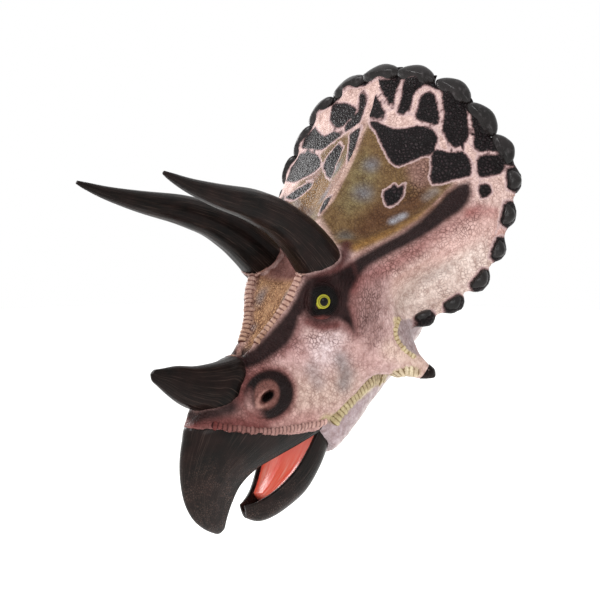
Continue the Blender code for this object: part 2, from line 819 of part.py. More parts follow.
def main():
    clear_scene()
    head = smooth_head()
    throat = make_throat()
    with_boolean(throat, "DIFFERENCE", wall_block())
    cut_by_part(throat, head)
    face, frill = split_head(head)
    for index in range(-SCUTES_A_SIDE, SCUTES_A_SIDE + 1):
        with_boolean(frill, "UNION", scute(abs(index), 1 if index >= 0 else -1))
    largest_body(frill)

    jaw = copy_of(throat, "jaw")
    throat.name = "neck"
    for body, shift, depth in ((jaw, GAP / 2, 1.6), (throat, -GAP / 2, -1.6)):
        low, high = (JAW_CUT_FORE + shift, -0.8), (JAW_CUT_FORE + shift, 0.3)
        with_boolean(body, "DIFFERENCE", block_behind("beyond_cut", low, high, depth))
        largest_body(body)

    upper_beak = make_upper_beak()
    cut_by_part(upper_beak, face)
    lower_beak = make_lower_beak()
    mouth_lining = make_mouth_lining()
    cut_by_part(mouth_lining, lower_beak)
    for part in (upper_beak, face):
        cut_by_part(lower_beak, part)
        cut_by_part(mouth_lining, part)
    cut_by_part(jaw, upper_beak)

    for side, label in ((1, "left"), (-1, "right")):
        horn = make_horn("brow_horn_" + label, side)
        cut_by_part(face, horn)
        eye = ball("eye_" + label, eye_centre(side), (EYE_RADIUS,) * 3, "eye", 14, 8)
        cut_by_part(face, eye)
        nostril = skull(*mirrored(NOSTRIL_AT, side)) + Vector((side * NOSTRIL_HOLE_SIDE, 0, 0))
        with_boolean(face, "DIFFERENCE", ball("hole", nostril, NOSTRIL_HOLE, "skin", 14, 8))
        cheek_cap(face, side, label)
    nose_horn = make_nose_horn()
    cut_by_part(face, nose_horn)
    cut_by_part(upper_beak, nose_horn)
    largest_body(face)
    fit_hangers(make_board())
    finish_shading()


main()
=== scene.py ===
"""Looks of a painted wall head of a three-horned dinosaur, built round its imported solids.

The head is a hollow casting of glass fibre and polyester resin, airbrushed and varnished. A point of it
is given as (side, fore, up): side is +X, the animal's left, fore runs along the skull towards the beak,
and up stands square on the brow. Lengths are in metres. Marks of the paint are given where the
photograph shows them, in its pixels, and are laid on the skin along the photograph's own line of sight.
"""

from __future__ import annotations

import logging
import math
from contextlib import contextmanager
from dataclasses import dataclass, field
from enum import Enum
from typing import Callable, Iterable, Iterator, Sequence

import bmesh
import bpy
import numpy as np
from mathutils import Matrix, Vector, noise
from mathutils.bvhtree import BVHTree

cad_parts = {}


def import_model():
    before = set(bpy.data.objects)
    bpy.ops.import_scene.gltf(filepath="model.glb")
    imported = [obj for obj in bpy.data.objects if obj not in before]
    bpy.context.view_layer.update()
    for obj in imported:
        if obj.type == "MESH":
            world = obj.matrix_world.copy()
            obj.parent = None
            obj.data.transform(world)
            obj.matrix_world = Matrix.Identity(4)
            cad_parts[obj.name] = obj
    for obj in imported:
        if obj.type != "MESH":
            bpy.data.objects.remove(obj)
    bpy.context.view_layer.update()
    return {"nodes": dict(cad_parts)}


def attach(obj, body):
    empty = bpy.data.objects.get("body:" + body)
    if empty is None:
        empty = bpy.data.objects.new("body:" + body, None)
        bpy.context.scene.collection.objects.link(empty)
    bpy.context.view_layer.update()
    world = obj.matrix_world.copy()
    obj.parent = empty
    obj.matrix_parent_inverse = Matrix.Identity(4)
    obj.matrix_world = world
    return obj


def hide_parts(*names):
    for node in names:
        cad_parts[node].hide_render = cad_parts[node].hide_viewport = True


LOG = logging.getLogger("dinosaur_head")
BODY = "root"

Row = tuple[float, ...]
Pixel = tuple[float, float]


class Side(Enum):
    """The two sides of the head, as the animal has them."""

    LEFT = 1
    RIGHT = -1

    @property
    def label(self) -> str:
        """The word that ends the names of this side's pieces."""
        return self.name.lower()

    @property
    def flip(self) -> np.ndarray:
        """What takes points of the left side to this one, and back."""
        return np.array((self.value, 1, 1))


class Slot(Enum):
    """The record's material slots."""

    SKIN = "skin"
    HORN = "horn"
    MOUTH = "mouth"
    EYE = "eye"
    PLYWOOD = "plywood"
    STEEL = "steel"


def linear(colour: str) -> np.ndarray:
    """Turns an sRGB hex colour to linear numbers.

    Args:
        colour: The colour as "#RRGGBB".

    Returns:
        Its red, green and blue, from 0 to 1.
    """
    shares = np.array([int(colour[i : i + 2], 16) / 255 for i in (1, 3, 5)])
    return np.where(shares <= 0.04045, shares / 12.92, ((shares + 0.055) / 1.055) ** 2.4)


def coated(colour: np.ndarray, coats: Iterable[tuple[str, np.ndarray]]) -> np.ndarray:
    """Lays coats of paint over the colours of points.

    Args:
        colour: The colour of each point so far.
        coats: The hex colour of each coat and how far it covers each point, in order.

    Returns:
        The new colour of each point.
    """
    for tone, cover in coats:
        colour = colour + (linear(tone) - colour) * np.clip(cover, 0, 1)[:, None]
    return colour


def rgba(colour: str) -> tuple[float, float, float, float]:
    """The colour with full cover, as a shader's socket takes it."""
    return (*(float(v) for v in linear(colour)), 1.0)


def laid_left(places: np.ndarray) -> np.ndarray:
    """The points with the right side of the head laid over the left."""
    return np.column_stack([np.abs(places[:, 0]), places[:, 1:]])


def hill(x: np.ndarray) -> np.ndarray:
    """One at zero, falling smoothly to nothing at -1 and 1."""
    return np.clip(1 - np.square(x), 0, None) ** 2


def ramp(x: np.ndarray, low: float, high: float) -> np.ndarray:
    """Goes smoothly from zero at low to one at high."""
    t = np.clip((x - low) / (high - low), 0, 1)
    return t * t * (3 - 2 * t)


def unit(rows: np.ndarray) -> np.ndarray:
    """Each row scaled to length one."""
    return rows / np.maximum(np.linalg.norm(rows, axis=-1, keepdims=True), 1e-9)


def flowing(rows: Sequence[Row] | np.ndarray, steps: int) -> np.ndarray:
    """Lays a smooth curve through rows of numbers.

    Args:
        rows: The rows that the curve passes through.
        steps: How many rows to make for each one given.

    Returns:
        The rows along the curve, the last one included.
    """
    given = np.array(rows, float)
    padded = np.vstack([given[:1], given, given[-1:]])
    t = (np.arange(steps) / steps)[:, None]
    parts = []
    for before, here, there, after in zip(padded, padded[1:], padded[2:], padded[3:]):
        bend = 2 * before - 5 * here + 4 * there - after
        twist = 3 * (here - there) + after - before
        parts.append(0.5 * (2 * here + (there - before) * t + bend * t**2 + twist * t**3))
    return np.vstack([*parts, given[-1:]])


def evenly(path: np.ndarray, step: float) -> np.ndarray:
    """The path's points again, spaced step apart along it."""
    reach = np.concatenate([[0], np.cumsum(np.linalg.norm(np.diff(path, axis=0), axis=1))])
    stops = np.linspace(0, reach[-1], max(int(reach[-1] / step), 2) + 1)
    return np.column_stack([np.interp(stops, reach, path[:, k]) for k in range(path.shape[1])])


@dataclass(frozen=True)
class HeadAxes:
    """The skull's own axes: where their zero hangs, and how far the nose is tipped down."""

    zero: Row = (0.0, -0.563, -0.134)
    nose_down: float = math.radians(47)

    def turn(self) -> np.ndarray:
        """The matrix that takes (side, -fore, up) to the room's axes."""
        c, s = math.cos(self.nose_down), math.sin(self.nose_down)
        return np.array([[1, 0, 0], [0, c, -s], [0, s, c]])

    def world(self, places: Sequence[Row] | np.ndarray) -> np.ndarray:
        """Takes (side, fore, up) to the room.

        Args:
            places: Points along the last axis of an array.

        Returns:
            The same points as x, y and z.
        """
        return (np.array(places, float) * (1, -1, 1)) @ self.turn().T + np.array(self.zero)

    def local(self, points: np.ndarray) -> np.ndarray:
        """Takes points of the room to (side, fore, up)."""
        return ((np.asarray(points) - np.array(self.zero)) @ self.turn()) * (1, -1, 1)

    def local_way(self, ways: np.ndarray) -> np.ndarray:
        """Takes directions of the room to (side, fore, up)."""
        return (np.asarray(ways) @ self.turn()) * (1, -1, 1)


HEAD = HeadAxes()


@dataclass(frozen=True)
class PhotoView:
    """The photograph's point of view, and the camera that stands there."""

    azimuth: float = math.radians(41)
    elevation: float = math.radians(2)
    distance: float = 2.444
    target: Row = (0.0, -0.52, -0.24)
    lens_mm: float = 52.8
    sensor_mm: float = 36.0
    frame: int = 600

    def back(self) -> Vector:
        """The way from the head to the camera."""
        flat = math.cos(self.elevation)
        return Vector((math.sin(self.azimuth) * flat, -math.cos(self.azimuth) * flat, math.sin(self.elevation)))

    def place(self) -> Vector:
        """Where the camera stands."""
        return Vector(self.target) + self.back() * self.distance

    def right(self) -> Vector:
        """The way to the photograph's right."""
        return Vector((math.cos(self.azimuth), math.sin(self.azimuth), 0))

    def rise(self) -> Vector:
        """The way to the photograph's top."""
        return self.back().cross(self.right())

    def ray(self, pixel: Pixel) -> Vector:
        """The line of sight through a pixel of the photograph."""
        scale = self.sensor_mm / self.lens_mm / self.frame
        across, down = (pixel[0] - self.frame / 2) * scale, (pixel[1] - self.frame / 2) * scale
        return (self.right() * across - self.rise() * down - self.back()).normalized()

    def flat(self, places: np.ndarray) -> np.ndarray:
        """How far right and up each point of the room lies, as seen from the photograph's side."""
        return np.asarray(places) @ np.array([self.right(), self.rise()]).T

    def make_camera(self) -> None:
        """Stands the camera in the scene."""
        data = bpy.data.cameras.new("camera")
        data.sensor_width = self.sensor_mm
        data.lens = self.lens_mm
        camera = bpy.data.objects.new("camera", data)
        camera.location = self.place()
        camera.rotation_mode = "QUATERNION"
        camera.rotation_quaternion = (-self.back()).to_track_quat("-Z", "Y")
        bpy.context.scene.collection.objects.link(camera)
        bpy.context.scene.camera = camera


# A height, in the head's own axes, from which the muzzle's top is looked down on.
ABOVE_MUZZLE = 0.12


class Surface:
    """A finished surface that marks and small pieces are laid on."""

    def __init__(self, obj: bpy.types.Object, view: PhotoView) -> None:
        """Keeps the object's mesh as a tree to look points up in."""
        mesh = obj.data
        mesh.calc_loop_triangles()
        corners = [tuple(t.vertices) for t in mesh.loop_triangles]
        self.tree = BVHTree.FromPolygons([v.co.copy() for v in mesh.vertices], corners)
        self.view = view

    def under(self, pixel: Pixel, towards: Pixel | None = None) -> tuple[Vector, Vector]:
        """The point of the surface that a pixel of the photograph shows.

        Args:
            pixel: The pixel.
            towards: Where to look, a little at a time, if the pixel misses the surface.

        Returns:
            The point and the surface's normal there.
        """
        aims = [pixel]
        if towards:
            way = np.array(towards) - pixel
            aims += [tuple(np.array(pixel) + way * share) for share in np.arange(0.04, 1, 0.04)]
        for aim in aims:
            hit, normal, _, _ = self.tree.ray_cast(self.view.place(), self.view.ray(aim))
            if hit:
                return hit, normal
        raise ValueError(f"no part of the surface lies near pixel {pixel}")

    def path(self, pixels: Sequence[Pixel], inner: Pixel) -> np.ndarray:
        """The points of the surface along a line of pixels, as (side, fore, up)."""
        return HEAD.local(np.array([self.under(pixel, inner)[0] for pixel in pixels]))

    def nearest(self, places: np.ndarray) -> tuple[np.ndarray, np.ndarray]:
        """The nearest points of the surface to some points of the room, and the normals there."""
        found = [self.tree.find_nearest(Vector(place)) for place in places]
        return np.array([hit[0] for hit in found]), np.array([hit[1] for hit in found])

    def from_above(self, flat: Sequence[tuple[float, float]]) -> np.ndarray:
        """The surface's points straight below some (side, fore) pairs of the head's top."""
        starts = HEAD.world([(side, fore, ABOVE_MUZZLE) for side, fore in flat])
        down = (Vector(HEAD.world([(0, 0, -1)])[0]) - Vector(HEAD.world([(0, 0, 0)])[0])).normalized()
        return HEAD.local(np.array([self.tree.ray_cast(Vector(start), down)[0] for start in starts]))

    def distance(self, places: np.ndarray) -> np.ndarray:
        """How far each point of the room is from the surface."""
        return np.array([self.tree.find_nearest(Vector(place))[3] for place in places])


def choose(*objects: bpy.types.Object) -> None:
    """Selects these objects alone, the first one active."""
    if bpy.context.object and bpy.context.object.mode != "OBJECT":
        bpy.ops.object.mode_set(mode="OBJECT")
    bpy.ops.object.select_all(action="DESELECT")
    for obj in objects:
        obj.select_set(True)
    bpy.context.view_layer.objects.active = objects[0]


@contextmanager
def editing(obj: bpy.types.Object) -> Iterator[None]:
    """Opens the object for mesh operators with all of it selected, and closes it again."""
    choose(obj)
    bpy.ops.object.mode_set(mode="EDIT")
    bpy.ops.mesh.select_all(action="SELECT")
    yield
    bpy.ops.object.mode_set(mode="OBJECT")


def duplicate(obj: bpy.types.Object) -> bpy.types.Object:
    """A second object with a mesh of its own."""
    made = obj.copy()
    made.data = obj.data.copy()
    bpy.context.scene.collection.objects.link(made)
    return made


def points_of(obj: bpy.types.Object) -> np.ndarray:
    """The mesh's points as rows."""
    flat = np.zeros(len(obj.data.vertices) * 3)
    obj.data.vertices.foreach_get("co", flat)
    return flat.reshape(-1, 3)


def normals_of(obj: bpy.types.Object) -> np.ndarray:
    """The mesh's vertex normals as rows."""
    flat = np.zeros(len(obj.data.vertices) * 3)
    obj.data.vertices.foreach_get("normal", flat)
    return flat.reshape(-1, 3)


def move_points(obj: bpy.types.Object, places: np.ndarray) -> None:
    """Gives the mesh's points new places."""
    obj.data.vertices.foreach_set("co", np.ascontiguousarray(places, np.float32).ravel())
    obj.data.update()


def keep_values(obj: bpy.types.Object, name: str, values: np.ndarray) -> None:
    """Stores a number, a direction or a colour for each point of the mesh.

    Args:
        obj: The mesh object.
        name: The attribute's name, which its material reads.
        values: One row for each point, of one, three or four numbers.
    """
    kinds = {1: ("FLOAT", "value"), 3: ("FLOAT_VECTOR", "vector"), 4: ("FLOAT_COLOR", "color")}
    rows = np.asarray(values, np.float32).reshape(len(obj.data.vertices), -1)
    kind, key = kinds[rows.shape[1]]
    made = obj.data.attributes.new(name, kind, "POINT")
    made.data.foreach_set(key, rows.ravel())


def apply_modifier(obj: bpy.types.Object, kind: str, **settings: object) -> None:
    """Adds a modifier with its settings and applies it."""
    choose(obj)
    made = obj.modifiers.new(kind.lower(), kind)
    for name, value in settings.items():
        setattr(made, name, value)
    bpy.ops.object.modifier_apply(modifier=made.name)


def copy_of_node(node: bpy.types.Object, name: str) -> bpy.types.Object:
    """A copy of a CAD node, with its loose triangles merged.

    Args:
        node: The CAD node.
        name: The copy's name.

    Returns:
        The copy, with no finish.
    """
    made = bpy.data.objects.new(name, node.data.copy())
    bpy.context.scene.collection.objects.link(made)
    made.data.materials.clear()
    with editing(made):
        bpy.ops.mesh.remove_doubles(threshold=0.00005)
    return made


def swell(obj: bpy.types.Object, by: float) -> None:
    """Moves each point of the mesh out along its normal, or in where by is negative."""
    move_points(obj, points_of(obj) + normals_of(obj) * by)


def fuse(name: str, objects: Sequence[bpy.types.Object]) -> bpy.types.Object:
    """Joins objects into the first one, under a new name.

    Args:
        name: The name of the whole.
        objects: The objects.

    Returns:
        The first object, which now holds them all.
    """
    choose(*objects)
    if len(objects) > 1:
        bpy.ops.object.join()
    objects[0].name = name
    objects[0].data.name = name
    return objects[0]


def drawn_out(name: str, rings: np.ndarray) -> bpy.types.Object:
    """Draws a closed body out of a circle, ring after ring.

    Args:
        name: The piece's name.
        rings: The points of each ring in the room, as an array of rings, points and coordinates.

    Returns:
        The body. Its grain attribute runs round it with x and y, and along it with z, in metres.
    """
    bpy.ops.object.select_all(action="DESELECT")
    bpy.ops.mesh.primitive_circle_add(vertices=rings.shape[1], fill_type="NGON")
    obj = bpy.context.object
    obj.name = obj.data.name = name
    bpy.ops.object.mode_set(mode="EDIT")
    shape = bmesh.from_edit_mesh(obj.data)
    place, row = shape.verts.layers.int.new("place"), shape.verts.layers.int.new("row")
    shape.verts.ensure_lookup_table()
    for number, vert in enumerate(shape.verts):
        vert[place] = number
    for number, ring in enumerate(rings):
        if number:
            bpy.ops.mesh.extrude_region_move()
            shape = bmesh.from_edit_mesh(obj.data)
            place, row = shape.verts.layers.int["place"], shape.verts.layers.int["row"]
        for vert in shape.verts:
            if vert.select:
                vert.co = ring[vert[place]]
                vert[row] = number
    bpy.ops.mesh.select_all(action="SELECT")
    bpy.ops.mesh.normals_make_consistent(inside=False)
    bpy.ops.object.mode_set(mode="OBJECT")
    keep_grain(obj, rings)
    bpy.ops.object.shade_smooth()
    return obj


def keep_grain(obj: bpy.types.Object, rings: np.ndarray) -> None:
    """Stores the way round and along a drawn body for each of its points.

    Args:
        obj: The drawn body, which still has its place and row attributes.
        rings: The points of each of its rings in the room.
    """
    count = len(obj.data.vertices)
    places, rows = np.zeros(count, int), np.zeros(count, int)
    obj.data.attributes["place"].data.foreach_get("value", places)
    obj.data.attributes["row"].data.foreach_get("value", rows)
    middles = rings.mean(axis=1)
    reach = np.concatenate([[0], np.cumsum(np.linalg.norm(np.diff(middles, axis=0), axis=1))])
    girth = np.linalg.norm(rings - middles[:, None], axis=2).mean(axis=1).max()
    turn = 2 * math.pi * places / rings.shape[1]
    keep_values(obj, "grain", np.column_stack([np.cos(turn) * girth, np.sin(turn) * girth, reach[rows]]))
    for name in ("place", "row"):
        obj.data.attributes.remove(obj.data.attributes[name])


def piece(obj: bpy.types.Object, slot: Slot, finish: bpy.types.Material, *nodes: str) -> bpy.types.Object:
    """Makes a mesh a piece of the object: its finish, its body and the nodes that it stands for.

    Args:
        obj: The mesh object.
        slot: Its material slot; not used.
        finish: Its material.
        nodes: The CAD nodes that it replaces.

    Returns:
        The object.
    """
    obj.data.materials.clear()
    obj.data.materials.append(finish)
    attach(obj, BODY)
    if nodes:
        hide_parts(*nodes)
    LOG.info("%s: %d faces", obj.name, len(obj.data.polygons))
    return obj


def add_node(
    tree: bpy.types.NodeTree, kind: str, inputs: dict[str | int, object] | None = None, **settings: object
) -> bpy.types.Node:
    """Adds a shader node.

    Args:
        tree: The material's nodes.
        kind: The node's type, without the words ShaderNode.
        inputs: What each input takes: a value, or another node's output.
        settings: The node's own settings.

    Returns:
        The node.
    """
    made = tree.nodes.new("ShaderNode" + kind)
    for name, value in settings.items():
        setattr(made, name, value)
    feed(made, inputs or {})
    return made


def feed(node: bpy.types.Node, inputs: dict[str | int, object]) -> None:
    """Gives a node's inputs their values, or links them to the outputs of other nodes."""
    for key, value in inputs.items():
        if isinstance(value, bpy.types.NodeSocket):
            node.id_data.links.new(value, node.inputs[key])
        else:
            node.inputs[key].default_value = value


MIX_SHARE, MIX_FIRST, MIX_SECOND, MIX_RESULT = 0, 6, 7, 2


def layer(
    tree: bpy.types.NodeTree, way: str, share: object, first: object, second: object
) -> bpy.types.NodeSocket:
    """Lays the second colour over the first.

    Args:
        tree: The material's nodes.
        way: How the two are mixed, such as MIX or MULTIPLY.
        share: How far the second covers the first: a number or an output.
        first: The colour below, as numbers or an output.
        second: The colour above, likewise.

    Returns:
        The output with the mixed colour.
    """
    inputs = {MIX_SHARE: share, MIX_FIRST: first, MIX_SECOND: second}
    return add_node(tree, "Mix", inputs, data_type="RGBA", blend_type=way).outputs[MIX_RESULT]


def new_material(name: str) -> tuple[bpy.types.Material, bpy.types.NodeTree, bpy.types.Node]:
    """A material, its nodes and its Principled shader."""
    made = bpy.data.materials.new(name)
    made.use_nodes = True
    return made, made.node_tree, made.node_tree.nodes["Principled BSDF"]


def ramp_stops(node: bpy.types.Node, stops: Sequence[tuple[float, str]]) -> None:
    """Gives a colour ramp its stops, each a place and a colour.

    Args:
        node: The colour ramp.
        stops: Its stops, from 0 to 1.
    """
    elements = node.color_ramp.elements
    while len(elements) < len(stops):
        elements.new(0.5)
    for element, (place, colour) in zip(elements, stops):
        element.position = place
        element.color = rgba(colour)


@dataclass(frozen=True)
class PaintedSkin:
    """Airbrushed polyester resin, cast in a mould of scaly hide and sealed with satin varnish.

    The eye sees plates about a centimetre wide with dark red-brown paint left in the cracks between them,
    soft airbrushed tones, and hard dark patches of coarser, shinier plates with a pale pink rim, whose middles
    are sprayed lighter, partly the plates' own tone and partly a painted highlight on their nubs.
    """

    plate: float = 0.0100
    tall_plate: tuple[float, float, float] = (0.0062, 0.0075, 0.0200)
    panel_plate: tuple[float, float, float] = (0.0052, 0.0105, 0.0100)
    crack: str = "#7E5350"
    deep_crack: str = "#5E3434"
    patch: str = "#0C0708"
    patch_plate_highlight: str = "#362A2D"
    halo: str = "#5B3231"
    rim: str = "#DCC2C0"
    rim_width: float = 0.0085
    ragged: float = 0.0140
    roughness: float = 0.46
    patch_roughness: float = 0.36
    specular: float = 0.11
    relief: float = 0.0022

    def material(self) -> bpy.types.Material:
        """Builds the finish."""
        made, tree, shader = new_material("painted_skin")
        place = add_node(tree, "TexCoord").outputs["Object"]
        sway = add_node(tree, "TexNoise", {"Vector": place, "Scale": 45.0, "Detail": 2.0}).outputs["Color"]
        sway = add_node(tree, "VectorMath", {0: sway, 1: (0.5, 0.5, 0.5)}, operation="SUBTRACT").outputs[0]
        inputs = {0: sway, 1: (0.010, 0.010, 0.010), 2: place}
        swayed = add_node(tree, "VectorMath", inputs, operation="MULTIPLY_ADD").outputs[0]
        tall = add_node(tree, "Attribute", attribute_name="tall").outputs["Fac"]
        panel = add_node(tree, "Attribute", attribute_name="panel").outputs["Fac"]
        plates = self.cells(tree, swayed, (self.plate,) * 3, 0.0)
        plates = self.blend(tree, tall, plates, self.cells(tree, swayed, self.tall_plate, 0.0))
        plates = self.blend(tree, panel, plates, self.cells(tree, swayed, self.panel_plate, HEAD.nose_down))
        crack = add_node(tree, "MapRange", {0: plates, 1: 0.015, 2: 0.15, 3: 1.0, 4: 0.0}).outputs[0]
        patchy = add_node(tree, "TexNoise", {"Vector": place, "Scale": 26.0, "Detail": 3.0}).outputs["Fac"]
        patchy = add_node(tree, "MapRange", {0: patchy, 1: 0.36, 2: 0.62, 3: 0.30, 4: 1.0}).outputs[0]
        share = add_node(tree, "Attribute", attribute_name="crack").outputs["Fac"]
        strength = add_node(tree, "Math", {0: share, 1: patchy}, operation="MULTIPLY").outputs[0]
        crack = add_node(tree, "Math", {0: crack, 1: strength}, operation="MULTIPLY").outputs[0]

        colour = add_node(tree, "Attribute", attribute_name="paint").outputs["Color"]
        mottle = add_node(tree, "TexNoise", {"Vector": place, "Scale": 60.0, "Detail": 6.0, "Roughness": 0.65})
        tone = add_node(tree, "ValToRGB", {0: mottle.outputs["Fac"]})
        ramp_stops(tone, ((0.34, "#BFB0AC"), (0.66, "#FFFFFF")))
        colour = layer(tree, "MULTIPLY", 0.85, colour, tone.outputs[0])
        deep = layer(tree, "MIX", share, rgba(self.crack), rgba(self.deep_crack))
        colour = layer(tree, "MULTIPLY", crack, colour, deep)

        inputs = {"Vector": place, "Scale": 115.0, "Detail": 6.0, "Roughness": 0.72}
        edge = add_node(tree, "TexNoise", inputs).outputs["Fac"]
        edge = add_node(tree, "Math", {0: edge, 1: 0.5}, operation="SUBTRACT").outputs[0]
        inside = add_node(tree, "Attribute", attribute_name="patch").outputs["Fac"]
        inside = add_node(tree, "Math", {0: edge, 1: self.ragged, 2: inside}, operation="MULTIPLY_ADD").outputs[0]
        inputs = {0: inside, 1: -self.rim_width, 2: -self.rim_width * 0.35}
        near = add_node(tree, "MapRange", inputs, interpolation_type="SMOOTHSTEP").outputs[0]
        rim = add_node(tree, "Attribute", attribute_name="rim").outputs["Fac"]
        rim = add_node(tree, "Math", {0: near, 1: rim}, operation="MULTIPLY").outputs[0]
        inputs = {0: inside, 1: -0.0034, 2: 0.0032}
        dark = add_node(tree, "MapRange", inputs, interpolation_type="SMOOTHSTEP").outputs[0]
        halo = add_node(tree, "MapRange", {0: inside, 1: -0.0075, 2: -0.0010, 4: 0.8}).outputs[0]
        colour = layer(tree, "MIX", rim, colour, rgba(self.rim))
        colour = layer(tree, "MIX", halo, colour, rgba(self.halo))
        # In the dark patches each plate's middle is lighter: partly the plate's own tone, partly a painted
        # highlight on its nub.
        nub_highlight = add_node(tree, "MapRange", {0: plates, 1: 0.10, 2: 0.45}).outputs[0]
        clouds = add_node(tree, "MapRange", {0: patchy, 1: 0.3, 2: 1.0, 3: 0.25, 4: 1.0}).outputs[0]
        nub_highlight = add_node(tree, "Math", {0: nub_highlight, 1: clouds}, operation="MULTIPLY").outputs[0]
        patch = layer(tree, "MIX", nub_highlight, rgba(self.patch), rgba(self.patch_plate_highlight))
        colour = layer(tree, "MIX", dark, colour, patch)
        rough = add_node(tree, "MapRange", {0: dark, 3: self.roughness, 4: self.patch_roughness}).outputs[0]

        height = add_node(tree, "MapRange", {0: plates, 1: 0.0, 2: 0.30}).outputs[0]
        depth = add_node(tree, "MapRange", {0: share, 3: 0.25, 4: 1.0}).outputs[0]
        depth = add_node(tree, "Math", {0: depth, 1: dark}, operation="MAXIMUM").outputs[0]
        height = add_node(tree, "Math", {0: height, 1: depth}, operation="MULTIPLY").outputs[0]
        fine = add_node(tree, "TexNoise", {"Vector": place, "Scale": 300.0, "Detail": 3.0}).outputs["Fac"]
        height = add_node(tree, "Math", {0: fine, 1: 0.45, 2: height}, operation="MULTIPLY_ADD").outputs[0]
        bump = add_node(tree, "Bump", {"Strength": 1.0, "Distance": self.relief, "Height": height})
        feed(shader, {"Base Color": colour, "Roughness": rough, "Normal": bump.outputs["Normal"]})
        feed(shader, {"Specular IOR Level": self.specular})
        return made

    def cells(
        self, tree: bpy.types.NodeTree, place: bpy.types.NodeSocket, size: Sequence[float], tip: float
    ) -> bpy.types.NodeSocket:
        """How far each spot is from the edge of its plate, for plates of one size, turned with the skull.

        Args:
            tree: The material's nodes.
            place: The spot in the room.
            size: The plates' size along three axes.
            tip: How far those axes are tipped.

        Returns:
            The output with the distance.
        """
        turned = add_node(tree, "Mapping", {"Vector": place, "Rotation": (-tip, 0.0, 0.0)}).outputs[0]
        scaled = add_node(tree, "Mapping", {"Vector": turned, "Scale": tuple(1 / v for v in size)}).outputs[0]
        return add_node(tree, "TexVoronoi", {"Vector": scaled, "Scale": 1.0}, feature="DISTANCE_TO_EDGE").outputs[0]

    def blend(
        self, tree: bpy.types.NodeTree, share: bpy.types.NodeSocket, first: object, second: object
    ) -> bpy.types.NodeSocket:
        """Goes from the first number to the second."""
        return add_node(tree, "Mix", {0: share, 2: first, 3: second}).outputs[0]


